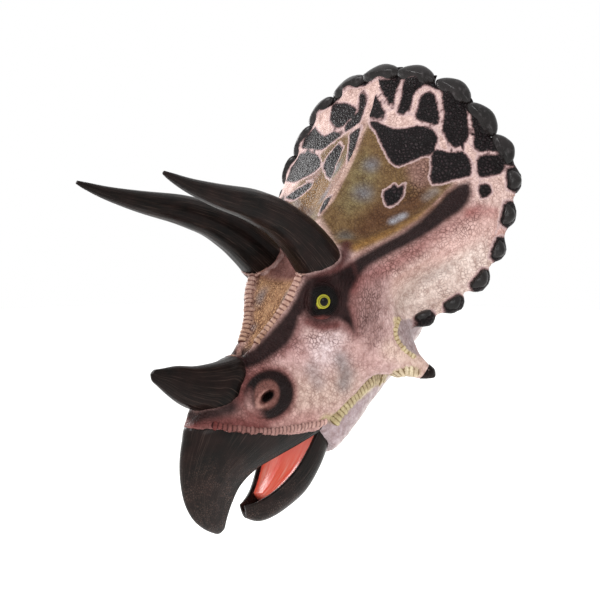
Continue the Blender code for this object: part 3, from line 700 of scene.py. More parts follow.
@dataclass(frozen=True)
class HornFinish:
    """Cast resin horn under black-brown paint, dry-brushed along its grain and varnished half gloss.

    The eye sees long fine scratches of lighter brown that follow the horn, slow cloudy tones, and a soft
    sheen that breaks up along the grain.
    """

    name: str
    dark: str = "#0B0807"
    brown: str = "#1B100E"
    scratch: str = "#5A4A43"
    scratch_share: float = 0.60
    across: float = 420.0
    along: float = 12.0
    roughness: float = 0.33
    groove: float = 0.0013
    specular: float = 0.05
    coat: float = 0.20
    coat_ior: float = 1.25
    coat_roughness: float = 0.16
    crackle: str = ""
    crackle_from: float = 0.0
    crackle_plate: tuple[float, float, float] = (0.0050, 0.0050, 0.0075)

    def material(self) -> bpy.types.Material:
        """Builds the finish."""
        made, tree, shader = new_material(self.name)
        grain = add_node(tree, "Attribute", attribute_name="grain").outputs["Vector"]
        place = add_node(tree, "TexCoord").outputs["Object"]
        scale = (self.across, self.across, self.along)
        lines = add_node(tree, "Mapping", {"Vector": grain, "Scale": scale}).outputs[0]
        inputs = {"Vector": lines, "Scale": 1.0, "Detail": 3.0, "Roughness": 0.6}
        lines = add_node(tree, "TexNoise", inputs).outputs["Fac"]
        scale = (self.across * 0.22, self.across * 0.22, self.along * 0.6)
        coarse = add_node(tree, "Mapping", {"Vector": grain, "Scale": scale}).outputs[0]
        coarse = add_node(tree, "TexNoise", {"Vector": coarse, "Scale": 1.0, "Detail": 2.0}).outputs["Fac"]
        clouds = add_node(tree, "TexNoise", {"Vector": place, "Scale": 16.0, "Detail": 3.0}).outputs["Fac"]
        tone = add_node(tree, "MapRange", {0: clouds, 1: 0.35, 2: 0.68}).outputs[0]
        colour = layer(tree, "MIX", tone, rgba(self.dark), rgba(self.brown))
        thin = add_node(tree, "MapRange", {0: lines, 1: 0.52, 2: 0.74}).outputs[0]
        wide = add_node(tree, "MapRange", {0: coarse, 1: 0.40, 2: 0.66, 3: 0.15, 4: 1.0}).outputs[0]
        thin = add_node(tree, "Math", {0: thin, 1: wide}, operation="MULTIPLY").outputs[0]
        thin = add_node(tree, "Math", {0: thin, 1: self.scratch_share}, operation="MULTIPLY").outputs[0]
        colour = layer(tree, "MIX", thin, colour, rgba(self.scratch))
        height = add_node(tree, "Math", {0: coarse, 1: 1.2, 2: lines}, operation="MULTIPLY_ADD").outputs[0]
        if self.crackle:
            plates = self.plates(tree, place, grain)
            colour = layer(tree, "MIX", plates, colour, rgba(self.crackle))
            height = add_node(tree, "Math", {0: plates, 1: 1.6, 2: height}, operation="MULTIPLY_ADD").outputs[0]
        low, high = self.roughness - 0.06, self.roughness + 0.14
        rough = add_node(tree, "MapRange", {0: lines, 1: 0.3, 2: 0.7, 3: low, 4: high}).outputs[0]
        bump = add_node(tree, "Bump", {"Strength": 0.7, "Distance": self.groove, "Height": height})
        feed(shader, {"Base Color": colour, "Roughness": rough, "Normal": bump.outputs["Normal"]})
        feed(shader, {"Specular IOR Level": self.specular, "Coat Weight": self.coat})
        feed(shader, {"Coat IOR": self.coat_ior, "Coat Roughness": self.coat_roughness})
        return made

    def plates(
        self, tree: bpy.types.NodeTree, place: bpy.types.NodeSocket, grain: bpy.types.NodeSocket
    ) -> bpy.types.NodeSocket:
        """How much each spot stands on a small worn plate, from where the crackle starts to the tip.

        Args:
            tree: The material's nodes.
            place: The spot in the room.
            grain: The spot round and along the horn.

        Returns:
            The output with the share.
        """
        turned = add_node(tree, "Mapping", {"Vector": place, "Rotation": (-HEAD.nose_down, 0.0, 0.0)}).outputs[0]
        sway = add_node(tree, "TexNoise", {"Vector": place, "Scale": 70.0, "Detail": 2.0}).outputs["Color"]
        inputs = {0: sway, 1: (0.008, 0.008, 0.008), 2: turned}
        turned = add_node(tree, "VectorMath", inputs, operation="MULTIPLY_ADD").outputs[0]
        scale = tuple(1 / v for v in self.crackle_plate)
        scaled = add_node(tree, "Mapping", {"Vector": turned, "Scale": scale}).outputs[0]
        inputs = {"Vector": scaled, "Scale": 1.0}
        cells = add_node(tree, "TexVoronoi", inputs, feature="DISTANCE_TO_EDGE").outputs[0]
        cells = add_node(tree, "MapRange", {0: cells, 1: 0.05, 2: 0.35}).outputs[0]
        reach = add_node(tree, "SeparateXYZ", {0: grain}).outputs["Z"]
        start = add_node(tree, "MapRange", {0: reach, 1: self.crackle_from, 2: self.crackle_from + 0.09}).outputs[0]
        worn = add_node(tree, "TexNoise", {"Vector": place, "Scale": 38.0, "Detail": 3.0}).outputs["Fac"]
        worn = add_node(tree, "MapRange", {0: worn, 1: 0.38, 2: 0.66}).outputs[0]
        cells = add_node(tree, "Math", {0: cells, 1: start}, operation="MULTIPLY").outputs[0]
        return add_node(tree, "Math", {0: cells, 1: worn}, operation="MULTIPLY").outputs[0]


@dataclass(frozen=True)
class MouthFinish:
    """The mouth's lining: coral-red enamel under a wet-look varnish, streaked along the jaw. The pink streaks are
    partly painted sheen, and the coral turns lighter high up as a painted highlight.
    """

    red: str = "#FF5540"
    coral: str = "#FF735C"
    # pink: the lightest streaks, partly the enamel's own tone and partly painted sheen.
    pink: str = "#FFA494"
    # rear: a lighter coral sprayed where the lining stands highest, a painted highlight.
    rear: str = "#FF9488"

    def material(self) -> bpy.types.Material:
        """Builds the finish."""
        made, tree, shader = new_material("mouth_enamel")
        grain = add_node(tree, "Attribute", attribute_name="grain").outputs["Vector"]
        stretched = add_node(tree, "Mapping", {"Vector": grain, "Scale": (90.0, 90.0, 12.0)}).outputs[0]
        streaks = add_node(tree, "TexNoise", {"Vector": stretched, "Scale": 1.0, "Detail": 3.0}).outputs["Fac"]
        tone = add_node(tree, "ValToRGB", {0: streaks})
        # The pink end of the streaks is partly painted sheen.
        ramp_stops(tone, ((0.30, self.red), (0.52, self.coral), (0.72, self.pink)))
        place = add_node(tree, "TexCoord").outputs["Object"]
        # The lining turns to the rear coral where it stands highest in the room: a painted highlight.
        high = add_node(tree, "SeparateXYZ", {0: place}).outputs["Z"]
        high = add_node(tree, "MapRange", {0: high, 1: -0.700, 2: -0.640, 4: 0.7}).outputs[0]
        colour = layer(tree, "MIX", high, tone.outputs[0], rgba(self.rear))
        bump = add_node(tree, "Bump", {"Strength": 0.5, "Distance": 0.0015, "Height": streaks})
        feed(shader, {"Base Color": colour, "Roughness": 0.30, "Normal": bump.outputs["Normal"]})
        feed(shader, {"Specular IOR Level": 0.20, "Coat Weight": 0.35, "Coat Roughness": 0.12})
        return made


@dataclass(frozen=True)
class EyeFinish:
    """A painted eye under clear gloss: a black pupil, an olive iris with a bright yellow-green edge."""

    pupil: float = 0.0118
    iris: float = 0.0184

    def material(self) -> bpy.types.Material:
        """Builds the finish. The off_axis attribute is each point's distance from the line of sight."""
        made, tree, shader = new_material("eye_gloss")
        off = add_node(tree, "Attribute", attribute_name="off_axis").outputs["Fac"]
        share = add_node(tree, "Math", {0: off, 1: self.iris}, operation="DIVIDE").outputs[0]
        grain = add_node(tree, "Attribute", attribute_name="grain").outputs["Vector"]
        rays = add_node(tree, "Mapping", {"Vector": grain, "Scale": (420.0, 420.0, 40.0)}).outputs[0]
        rays = add_node(tree, "TexNoise", {"Vector": rays, "Scale": 1.0, "Detail": 3.0}).outputs["Fac"]
        rays = add_node(tree, "Math", {0: rays, 1: 0.5}, operation="SUBTRACT").outputs[0]
        share = add_node(tree, "Math", {0: rays, 1: 0.10, 2: share}, operation="MULTIPLY_ADD").outputs[0]
        tone = add_node(tree, "ValToRGB", {0: share})
        pupil = self.pupil / self.iris
        ramp_stops(
            tone,
            (
                (0.0, "#060606"),
                (pupil - 0.04, "#070706"),
                (pupil + 0.03, "#A39C30"),
                (pupil + 0.14, "#66611A"),
                (0.86, "#8D8826"),
                (0.97, "#BCB743"),
                (1.0, "#9A942C"),
            ),
        )
        feed(shader, {"Base Color": tone.outputs[0], "Roughness": 0.25, "Specular IOR Level": 0.05})
        feed(shader, {"Coat Weight": 0.16, "Coat Roughness": 0.03})
        return made


@dataclass(frozen=True)
class PlywoodFinish:
    """Bare birch plywood, sanded: pale long grain on the faces and dark glue lines between the plies."""

    light: str = "#D9BE93"
    dark: str = "#A98355"
    ply: float = 0.0016

    def material(self) -> bpy.types.Material:
        """Builds the finish."""
        made, tree, shader = new_material("birch_plywood")
        place = add_node(tree, "TexCoord").outputs["Object"]
        stretched = add_node(tree, "Mapping", {"Vector": place, "Scale": (120.0, 120.0, 6.0)}).outputs[0]
        grain = add_node(tree, "TexNoise", {"Vector": stretched, "Scale": 1.0, "Detail": 4.0}).outputs["Fac"]
        depth = add_node(tree, "SeparateXYZ", {0: place}).outputs["Y"]
        plies = add_node(tree, "Math", {0: depth, 1: 2 * math.pi / self.ply}, operation="MULTIPLY").outputs[0]
        plies = add_node(tree, "Math", {0: plies}, operation="SINE").outputs[0]
        plies = add_node(tree, "MapRange", {0: plies, 1: -1.0, 2: 1.0, 3: -0.12, 4: 0.12}).outputs[0]
        tone = add_node(tree, "Math", {0: grain, 1: plies}, operation="ADD").outputs[0]
        colour = add_node(tree, "ValToRGB", {0: tone})
        ramp_stops(colour, ((0.3, self.dark), (0.62, self.light)))
        bump = add_node(tree, "Bump", {"Strength": 0.3, "Distance": 0.0003, "Height": grain})
        feed(shader, {"Base Color": colour.outputs[0], "Roughness": 0.62, "Normal": bump.outputs["Normal"]})
        return made


@dataclass(frozen=True)
class ZincFinish:
    """Zinc-plated pressed steel: bright, with the plating's faint spangle and rolling lines."""

    def material(self) -> bpy.types.Material:
        """Builds the finish."""
        made, tree, shader = new_material("zinc_plate")
        place = add_node(tree, "TexCoord").outputs["Object"]
        spangle = add_node(tree, "TexVoronoi", {"Vector": place, "Scale": 260.0}).outputs["Color"]
        tone = add_node(tree, "ValToRGB", {0: spangle})
        ramp_stops(tone, ((0.0, "#A9ACAE"), (1.0, "#C9CBCB")))
        stretched = add_node(tree, "Mapping", {"Vector": place, "Scale": (900.0, 900.0, 20.0)}).outputs[0]
        lines = add_node(tree, "TexNoise", {"Vector": stretched, "Scale": 1.0}).outputs["Fac"]
        rough = add_node(tree, "MapRange", {0: lines, 3: 0.24, 4: 0.42}).outputs[0]
        feed(shader, {"Base Color": tone.outputs[0], "Roughness": rough, "Metallic": 1.0})
        return made


# How far from a patch's edge its depth is told.
PATCH_LIMIT = 0.05


@dataclass(frozen=True)
class Mark:
    """A soft airbrushed mark along a line of pixels: its half width in metres, its colour and its cover."""

    line: tuple[Pixel, ...]
    width: float
    colour: str
    cover: float = 1.0
    soft: float = 0.6


def distance_to_line(points: np.ndarray, line: np.ndarray) -> np.ndarray:
    """How far each point is from a line of one or more points.

    Args:
        points: The points.
        line: The line's points, in the same axes.

    Returns:
        The distance of each point.
    """
    if len(line) == 1:
        return np.linalg.norm(points - line[0], axis=1)
    nearest = np.full(len(points), np.inf)
    for start, end in zip(line, line[1:]):
        way = end - start
        share = np.clip((points - start) @ way / (way @ way), 0, 1)
        nearest = np.minimum(nearest, np.linalg.norm(points - start - share[:, None] * way, axis=1))
    return nearest


def depth_in_outline(points: np.ndarray, outline: np.ndarray) -> np.ndarray:
    """How far each flat point lies inside a closed outline; negative outside it.

    Args:
        points: Flat points.
        outline: The outline's points, likewise flat.

    Returns:
        The depth of each point.
    """
    nearest = np.full(len(points), np.inf)
    inside = np.zeros(len(points), bool)
    for start, end in zip(outline, np.roll(outline, -1, axis=0)):
        way = end - start
        share = np.clip((points - start) @ way / (way @ way), 0, 1)
        nearest = np.minimum(nearest, np.linalg.norm(points - start - share[:, None] * way, axis=1))
        crosses = (start[1] > points[:, 1]) != (end[1] > points[:, 1])
        rise = np.where(crosses, (points[:, 1] - start[1]) / (way[1] if abs(way[1]) > 1e-12 else 1e-12), 0)
        inside ^= crosses & (points[:, 0] < start[0] + rise * way[0])
    return np.where(inside, nearest, -nearest)


@dataclass(frozen=True)
class Area:
    """A flat-sprayed area inside an outline of pixels: its colour, its cover and its feathered edge."""

    outline: tuple[Pixel, ...]
    inner: Pixel
    colour: str
    cover: float = 1.0
    feather: float = 0.012
    far_half: bool = False


@dataclass(frozen=True)
class Fold:
    """A raised or sunk line of the hide along pixels."""

    line: tuple[Pixel, ...]
    inner: Pixel
    width: float
    height: float


@dataclass(frozen=True)
class Seat:
    """Where horns or a beak come out of the hide.

    Their border lies where one axis passes a height that the table gives for another axis, tilted to the
    side. Axes are numbered as in (side, fore, up).
    """

    pieces: tuple[str, ...]
    key: int
    axis: int
    table: tuple[tuple[float, float], ...]
    tilt: float = 0.0

    def beyond(self, local: np.ndarray) -> np.ndarray:
        """How far past the border each point lies, towards the tip."""
        keys, heights = np.array(self.table).T
        return local[:, self.axis] - np.interp(local[:, self.key], keys, heights) - self.tilt * local[:, 0]


SEATS: tuple[Seat, ...] = (
    Seat(("brow_horn_left_grown", "brow_horn_right_grown"), 1, 2, ((-0.1, 0.0182), (0.1, 0.0682)), -0.277),
    Seat(
        ("nose_horn_grown",), 1, 2,
        ((0.324, -0.002), (0.334, -0.010), (0.342, -0.019), (0.360, -0.027), (0.390, -0.034), (0.420, -0.037),
         (0.455, -0.030), (0.487, -0.014), (0.503, 0.005), (0.515, 0.028)),
    ),
    Seat(
        ("upper_beak_grown",), 2, 1,
        ((-0.3208, 0.316), (-0.2277, 0.3943), (-0.1708, 0.4481), (-0.1067, 0.4921), (-0.0725, 0.5087),
         (-0.0394, 0.5259), (-0.017, 0.5447), (-0.006, 0.5514), (0.030, 0.560)),
    ),
)


FRILL_MIDDLE: Pixel = (420, 170)
FRILL_RIGHT_MIDDLE: Pixel = (335, 150)
FACE_MIDDLE: Pixel = (330, 350)

# The dark patches of the frill's face, as outlines in pixels of the photograph: those on the animal's
# left half, then those on its right half, which the photograph shows slantwise.
LEFT_PATCHES: tuple[tuple[Pixel, ...], ...] = (
    ((366.5, 84), (370, 86), (373, 90), (377, 98), (381.5, 106.5), (386, 115.5), (385, 118), (373, 117),
     (364, 117), (366, 105), (366, 90)),
    ((377, 80), (402, 78), (400, 82), (397.5, 87), (395, 93), (394, 102), (391.5, 109), (388, 102), (384, 94),
     (380, 87)),
    ((405, 77), (432, 78), (431, 81.5), (425, 84.5), (417, 90), (412.5, 96), (411.5, 104), (408.5, 114),
     (400, 115), (397, 112), (399, 106), (401.5, 98), (402.5, 88), (404, 81)),
    ((419.5, 100), (422.5, 93.5), (430, 91.5), (434.5, 94.5), (436.5, 103), (438.5, 113), (439, 124),
     (433, 124.5), (427, 122), (420, 120.5), (414.5, 118), (417.5, 110)),
    ((439.5, 85), (462, 89), (469, 98), (467, 107), (467, 115), (468, 124), (469, 134), (466, 142), (460, 146),
     (455, 147.5), (449, 144), (446, 137), (442, 130), (443.5, 122), (444.5, 114), (443, 103), (442, 93)),
    ((471, 104), (481, 110), (493, 124), (500, 136), (503, 149), (498, 152), (490, 150.5), (478, 152),
     (473.5, 147), (474, 139), (474.5, 133), (472.5, 126), (471, 115)),
    ((370, 121.5), (376, 121), (385, 126), (395, 129.5), (406.5, 128.5), (417, 126), (427, 127.5), (434, 131),
     (437.5, 137), (437, 144), (430.5, 150.5), (423, 155.5), (415, 159.5), (405, 163.5), (398, 166.5), (391, 162),
     (386, 153), (381, 143), (377, 133), (371.5, 126.5)),
    ((432.5, 151), (438, 149.5), (448, 152.5), (463, 152), (469, 158), (471.5, 167), (470.5, 175.5), (463, 177.5),
     (453, 179.5), (443, 183), (432.5, 184), (430, 177), (432, 167), (431, 158)),
    ((477.5, 158), (486.5, 154.5), (498, 155), (505, 160), (504, 169), (500, 173.5), (490, 176), (478, 177.5),
     (477, 168)),
    ((480, 184), (489, 184.5), (492, 191.5), (487, 197), (481.5, 198), (478.5, 191.5)),
    ((383, 192), (390, 188), (394, 184), (398, 188), (405, 184), (403, 190), (402.5, 196), (397.5, 202),
     (390, 206.5), (386, 205), (384, 198)),
)
RIGHT_PATCHES: tuple[tuple[Pixel, ...], ...] = (
    ((330, 120), (333, 104), (345, 103), (357, 108), (354, 116), (344, 123), (337, 129), (334, 126)),
    ((302, 148), (306, 136), (315, 127), (324, 137), (334, 131), (344, 134), (331, 143), (322, 150)),
    ((286, 181), (291, 168), (300, 154), (314, 153), (320, 158), (321, 166), (311, 174), (295, 182)),
    ((323, 168), (327, 157), (338, 144), (343, 148), (337, 162), (331, 180), (326, 175)),
    ((285, 198), (296, 190), (313, 180), (311, 187), (294, 200)),
    ((320, 211), (324, 201), (331, 196), (329, 204), (321, 214)),
    ((360, 94), (364, 90), (367, 99), (364, 110), (360, 122), (352, 128), (342, 132), (346, 125), (358, 112)),
    ((350, 134), (361, 127), (358, 137), (354, 151), (350, 165), (348, 156)),
)

# The broad soft areas of the frill, then the dark stripe below its hollow, which runs into the dark band
# from the nose horn round the eye.
FRILL_AREAS: tuple[Area, ...] = (
    # The olive-brown of the frill's hollow, sprayed darker than its paint alone: partly its paint, partly painted
    # shade in the hollow.
    Area(
        ((365, 124), (380, 128), (400, 130), (432, 150), (455, 184), (440, 202), (420, 219), (396, 234),
         (370, 245), (350, 254), (342, 262), (330, 235), (318, 216), (331, 198), (349, 164)),
        FRILL_MIDDLE, "#745C3C", 1.0, 0.016,
    ),
    Area(((405, 160), (432, 152), (432, 184), (420, 190), (410, 182)), FRILL_MIDDLE, "#94736A", 0.9, 0.020),
    Area(((352, 165), (366, 150), (378, 175), (368, 205), (348, 215), (338, 205)), FRILL_MIDDLE, "#7C7150", 0.7,
         0.026),
    Area(((372, 205), (425, 188), (432, 204), (396, 226), (365, 240), (350, 234)), FRILL_MIDDLE, "#5A3C28", 0.85,
         0.026),
    Area(((350, 256), (390, 236), (430, 212), (452, 190), (456, 186), (436, 205), (400, 226), (350, 246)),
         FRILL_MIDDLE, "#96703C", 0.9, 0.012),
    Area(
        ((293, 198), (314, 180), (324, 176), (333, 186), (330, 200), (319, 214), (306, 206)),
        FRILL_RIGHT_MIDDLE, "#83602F", 0.95, 0.012, True,
    ),
    Area(((360, 120), (366, 122), (349, 165), (331, 199), (320, 213), (326, 190), (343, 165)), FRILL_RIGHT_MIDDLE,
         "#A58478", 0.9, 0.010, True),
)
STRIPE: tuple[Area, ...] = (
    Area(
        ((458, 184), (470, 181), (473, 192), (470, 203), (460, 214), (446, 223), (436, 231), (424, 239),
         (410, 247), (395, 255), (380, 263), (368, 271), (361, 281), (352, 292), (338, 284), (336, 272),
         (350, 262), (362, 254), (375, 247), (390, 239), (405, 231), (418, 221), (430, 210.5), (440, 200.5),
         (447, 192)),
        FACE_MIDDLE, "#6E3C3B", 0.75, 0.014,
    ),
    Area(
        ((458, 185), (469, 182), (471.5, 192), (469, 201), (459, 212), (446, 220), (436, 228), (424, 235.5),
         (410, 243.5), (395, 251), (380, 259), (366, 268), (358, 277), (350, 290), (338, 282), (340, 270),
         (352, 262), (362, 255), (375, 248), (390, 240), (405, 232), (418, 222), (430, 211.5), (440, 201.5),
         (447, 193)),
        FACE_MIDDLE, "#190A0B", 0.97, 0.0075,
    ),
)
FACE_BAND: tuple[Area, ...] = (
    Area(
        ((352, 262), (341, 268), (330, 274), (316, 276), (306, 280), (302, 286), (296, 298), (288, 311),
         (278, 323), (266, 336), (254, 348), (238, 355), (232, 362), (244, 374), (262, 370), (276, 360),
         (290, 352), (299, 343), (303, 331), (306, 322), (322, 330), (340, 330), (356, 341), (362, 336),
         (357, 318), (354, 300), (358, 286)),
        FACE_MIDDLE, "#7A4745", 0.70, 0.016,
    ),
    Area(
        ((352, 264), (341, 269), (330, 274), (316, 276), (306, 280), (302, 286), (296, 298), (288, 311),
         (278, 323), (266, 336), (254, 348), (239, 355), (236, 363), (246, 369), (258, 365), (268, 359),
         (278, 352), (286, 346), (292, 338), (296, 328), (299, 317), (306, 310), (322, 318), (338, 318),
         (348, 325), (355, 333), (353, 320), (348, 305), (350, 292), (357, 279)),
        FACE_MIDDLE, "#190A0B", 0.96, 0.0090,
    ),
)

# Where the neck shows between the frill and the cheek's rear edge.
CHEEK_GAP = Area(
    ((399, 321), (409, 319), (420, 320), (434, 322), (436, 345), (424, 356), (412, 354), (404, 348), (399, 341),
     (397, 331)),
    FACE_MIDDLE, "#A69799", 0.92, 0.004,
)

# Soft marks, in the order that they are sprayed.
FRILL_MARKS: tuple[Mark, ...] = (
    Mark(((371, 165),), 0.022, "#77787F", 0.80, 0.9),
    Mark(((363, 193),), 0.026, "#74757D", 0.80, 0.9),
    Mark(((393, 221), (403, 216)), 0.012, "#A5A9B2", 0.80, 0.9),
    Mark(((428, 196), (434, 192)), 0.014, "#8C8480", 0.75, 0.9),
    Mark(((345, 236),), 0.022, "#62625F", 0.75, 0.9),
    Mark(((364, 128), (349, 166), (331, 201), (319, 216)), 0.007, "#C0A296", 0.9, 0.6),
    # A thin pale line along the stripe's upper edge: a painted highlight.
    Mark(((352, 258), (366, 251), (385, 242), (405, 230), (420, 219), (434, 205), (448, 191), (456, 184)), 0.0045,
         "#B8968C", 0.8, 0.8),
    Mark(((470, 181), (476, 178), (473, 200), (476, 208), (500, 210)), 0.006, "#CDB0AC", 0.7, 0.8),
    Mark(((470, 214), (494, 213)), 0.016, "#A04A45", 0.75, 0.9),
    Mark(((500, 228), (492, 245)), 0.014, "#B0605A", 0.55, 0.9),
    Mark(((492, 262), (486, 285)), 0.020, "#C09A80", 0.60, 0.9),
    Mark(((462, 300), (446, 305)), 0.020, "#C8A27A", 0.55, 0.9),
)
FACE_MARKS: tuple[Mark, ...] = (
    Mark(((480, 212), (463, 222), (440, 236), (418, 249), (396, 262), (372, 276), (356, 288)), 0.024, "#8C4E4C",
         0.75, 0.9),
    Mark(((470, 262), (440, 285), (415, 300)), 0.075, "#F4E4DB", 0.85, 0.9),
    Mark(((486, 224), (462, 240), (440, 252)), 0.034, "#E4BFB8", 0.75, 0.9),
    # Grey down the sunk fold behind the eye: painted shade.
    Mark(((420, 278), (404, 300), (398, 316)), 0.020, "#AF9A90", 0.55, 0.9),
    Mark(((448, 268), (426, 280)), 0.016, "#A99C98", 0.45, 0.9),
    Mark(((375, 290), (368, 315), (372, 330)), 0.036, "#96726F", 0.70, 0.9),
    Mark(((356, 300), (352, 320)), 0.024, "#8F6360", 0.65, 0.9),
    Mark(((322, 352), (334, 345)), 0.034, "#E8D6D8", 0.85, 0.9),
    Mark(((288, 352), (300, 350)), 0.030, "#C69E9C", 0.70, 0.9),
    Mark(((355, 350), (370, 362)), 0.040, "#C9A5A0", 0.70, 0.9),
    Mark(((300, 395), (330, 395), (345, 385)), 0.044, "#CDB4A8", 0.85, 0.9),
    # Grey in the cheek's hollow below the eye, along its sunk fold and beside it: painted shade.
    Mark(((341, 360), (346, 374), (343, 384)), 0.022, "#8C8788", 0.70, 0.9),
    Mark(((312, 370), (318, 382)), 0.020, "#A79A9A", 0.60, 0.9),
    Mark(((392, 350), (410, 358), (420, 364)), 0.026, "#E2C9BA", 0.75, 0.9),
    Mark(((255, 425), (285, 425), (310, 420)), 0.024, "#B58A84", 0.70, 0.9),
    Mark(((195, 425), (215, 422), (240, 423), (262, 430)), 0.026, "#6A302E", 0.90, 0.9),
    Mark(((240, 360), (246, 385), (236, 402)), 0.026, "#4A1E1E", 0.88, 0.8),
    Mark(((190, 420), (202, 415), (214, 413), (230, 408)), 0.017, "#1E1112", 0.92, 0.8),
    Mark(((186, 422),), 0.012, "#A08890", 0.80, 0.8),
    Mark(((350, 402), (336, 416), (325, 421)), 0.017, "#BDAF86", 0.95, 0.7),
    Mark(((356, 397), (362, 392), (374, 382), (385, 376), (400, 374), (414, 374)), 0.017, "#D6C6A4", 0.95, 0.6),
    Mark(((396, 320), (398, 334), (404, 345), (413, 355)), 0.009, "#CDBB92", 0.90, 0.6),
    Mark(((300, 273), (322, 275), (338, 267), (344, 256), (346, 244)), 0.017, "#4A2020", 0.92, 0.8),
    Mark(((250, 271), (262, 264), (276, 257), (288, 250)), 0.022, "#6A3431", 0.90, 0.8),
    Mark(((268, 268), (284, 260)), 0.018, "#7E5A44", 0.80, 0.9),
    Mark(((308, 322), (322, 327), (336, 325)), 0.012, "#7C4542", 0.85, 0.8),
)
EYE_MARKS: tuple[Mark, ...] = (
    Mark(((324, 302),), 0.064, "#2E1A1A", 0.85, 0.35),
)

# The cheek's lower hem.
HEM: tuple[Pixel, ...] = (
    (335, 421), (343, 411), (352, 401), (362, 391), (373, 382), (385, 376), (400, 374), (416, 373),
)
FOLDS: tuple[Fold, ...] = (
    Fold(((302, 284), (298, 297), (289, 311), (276, 326), (262, 341), (248, 353)), FACE_MIDDLE, 0.012, -0.0035),
    Fold(HEM, FACE_MIDDLE, 0.017, 0.0030),
    Fold(((303, 314), (311, 324), (322, 329), (334, 327), (344, 319)), FACE_MIDDLE, 0.008, 0.0022),
    Fold(((341, 352), (346, 368), (345, 382)), FACE_MIDDLE, 0.022, -0.0050),
    Fold(((324, 352), (322, 372)), FACE_MIDDLE, 0.028, 0.0040),
    Fold(((400, 258), (430, 243), (455, 232)), FACE_MIDDLE, 0.030, 0.0030),
    Fold(((418, 276), (402, 296), (398, 312)), FACE_MIDDLE, 0.024, -0.0040),
    Fold(((366, 280), (360, 300), (362, 322)), FACE_MIDDLE, 0.016, -0.0030),
)

# How strongly the cracks show along soft lines of pixels: width in metres, then strength.
CRACK_MARKS: tuple[tuple[tuple[Pixel, ...], float, float], ...] = (
    (((484, 218), (440, 238), (400, 260), (366, 282)), 0.038, 0.72),
    (((372, 284), (368, 310), (372, 335)), 0.040, 0.85),
    (((300, 345), (322, 338), (345, 335)), 0.030, 0.8),
    (((262, 378), (250, 372), (280, 352)), 0.030, 0.7),
    (((420, 170), (410, 190)), 0.045, 1.0),
    (((375, 150), (360, 180)), 0.060, 0.55),
    (((310, 190), (325, 178)), 0.060, 0.8),
)


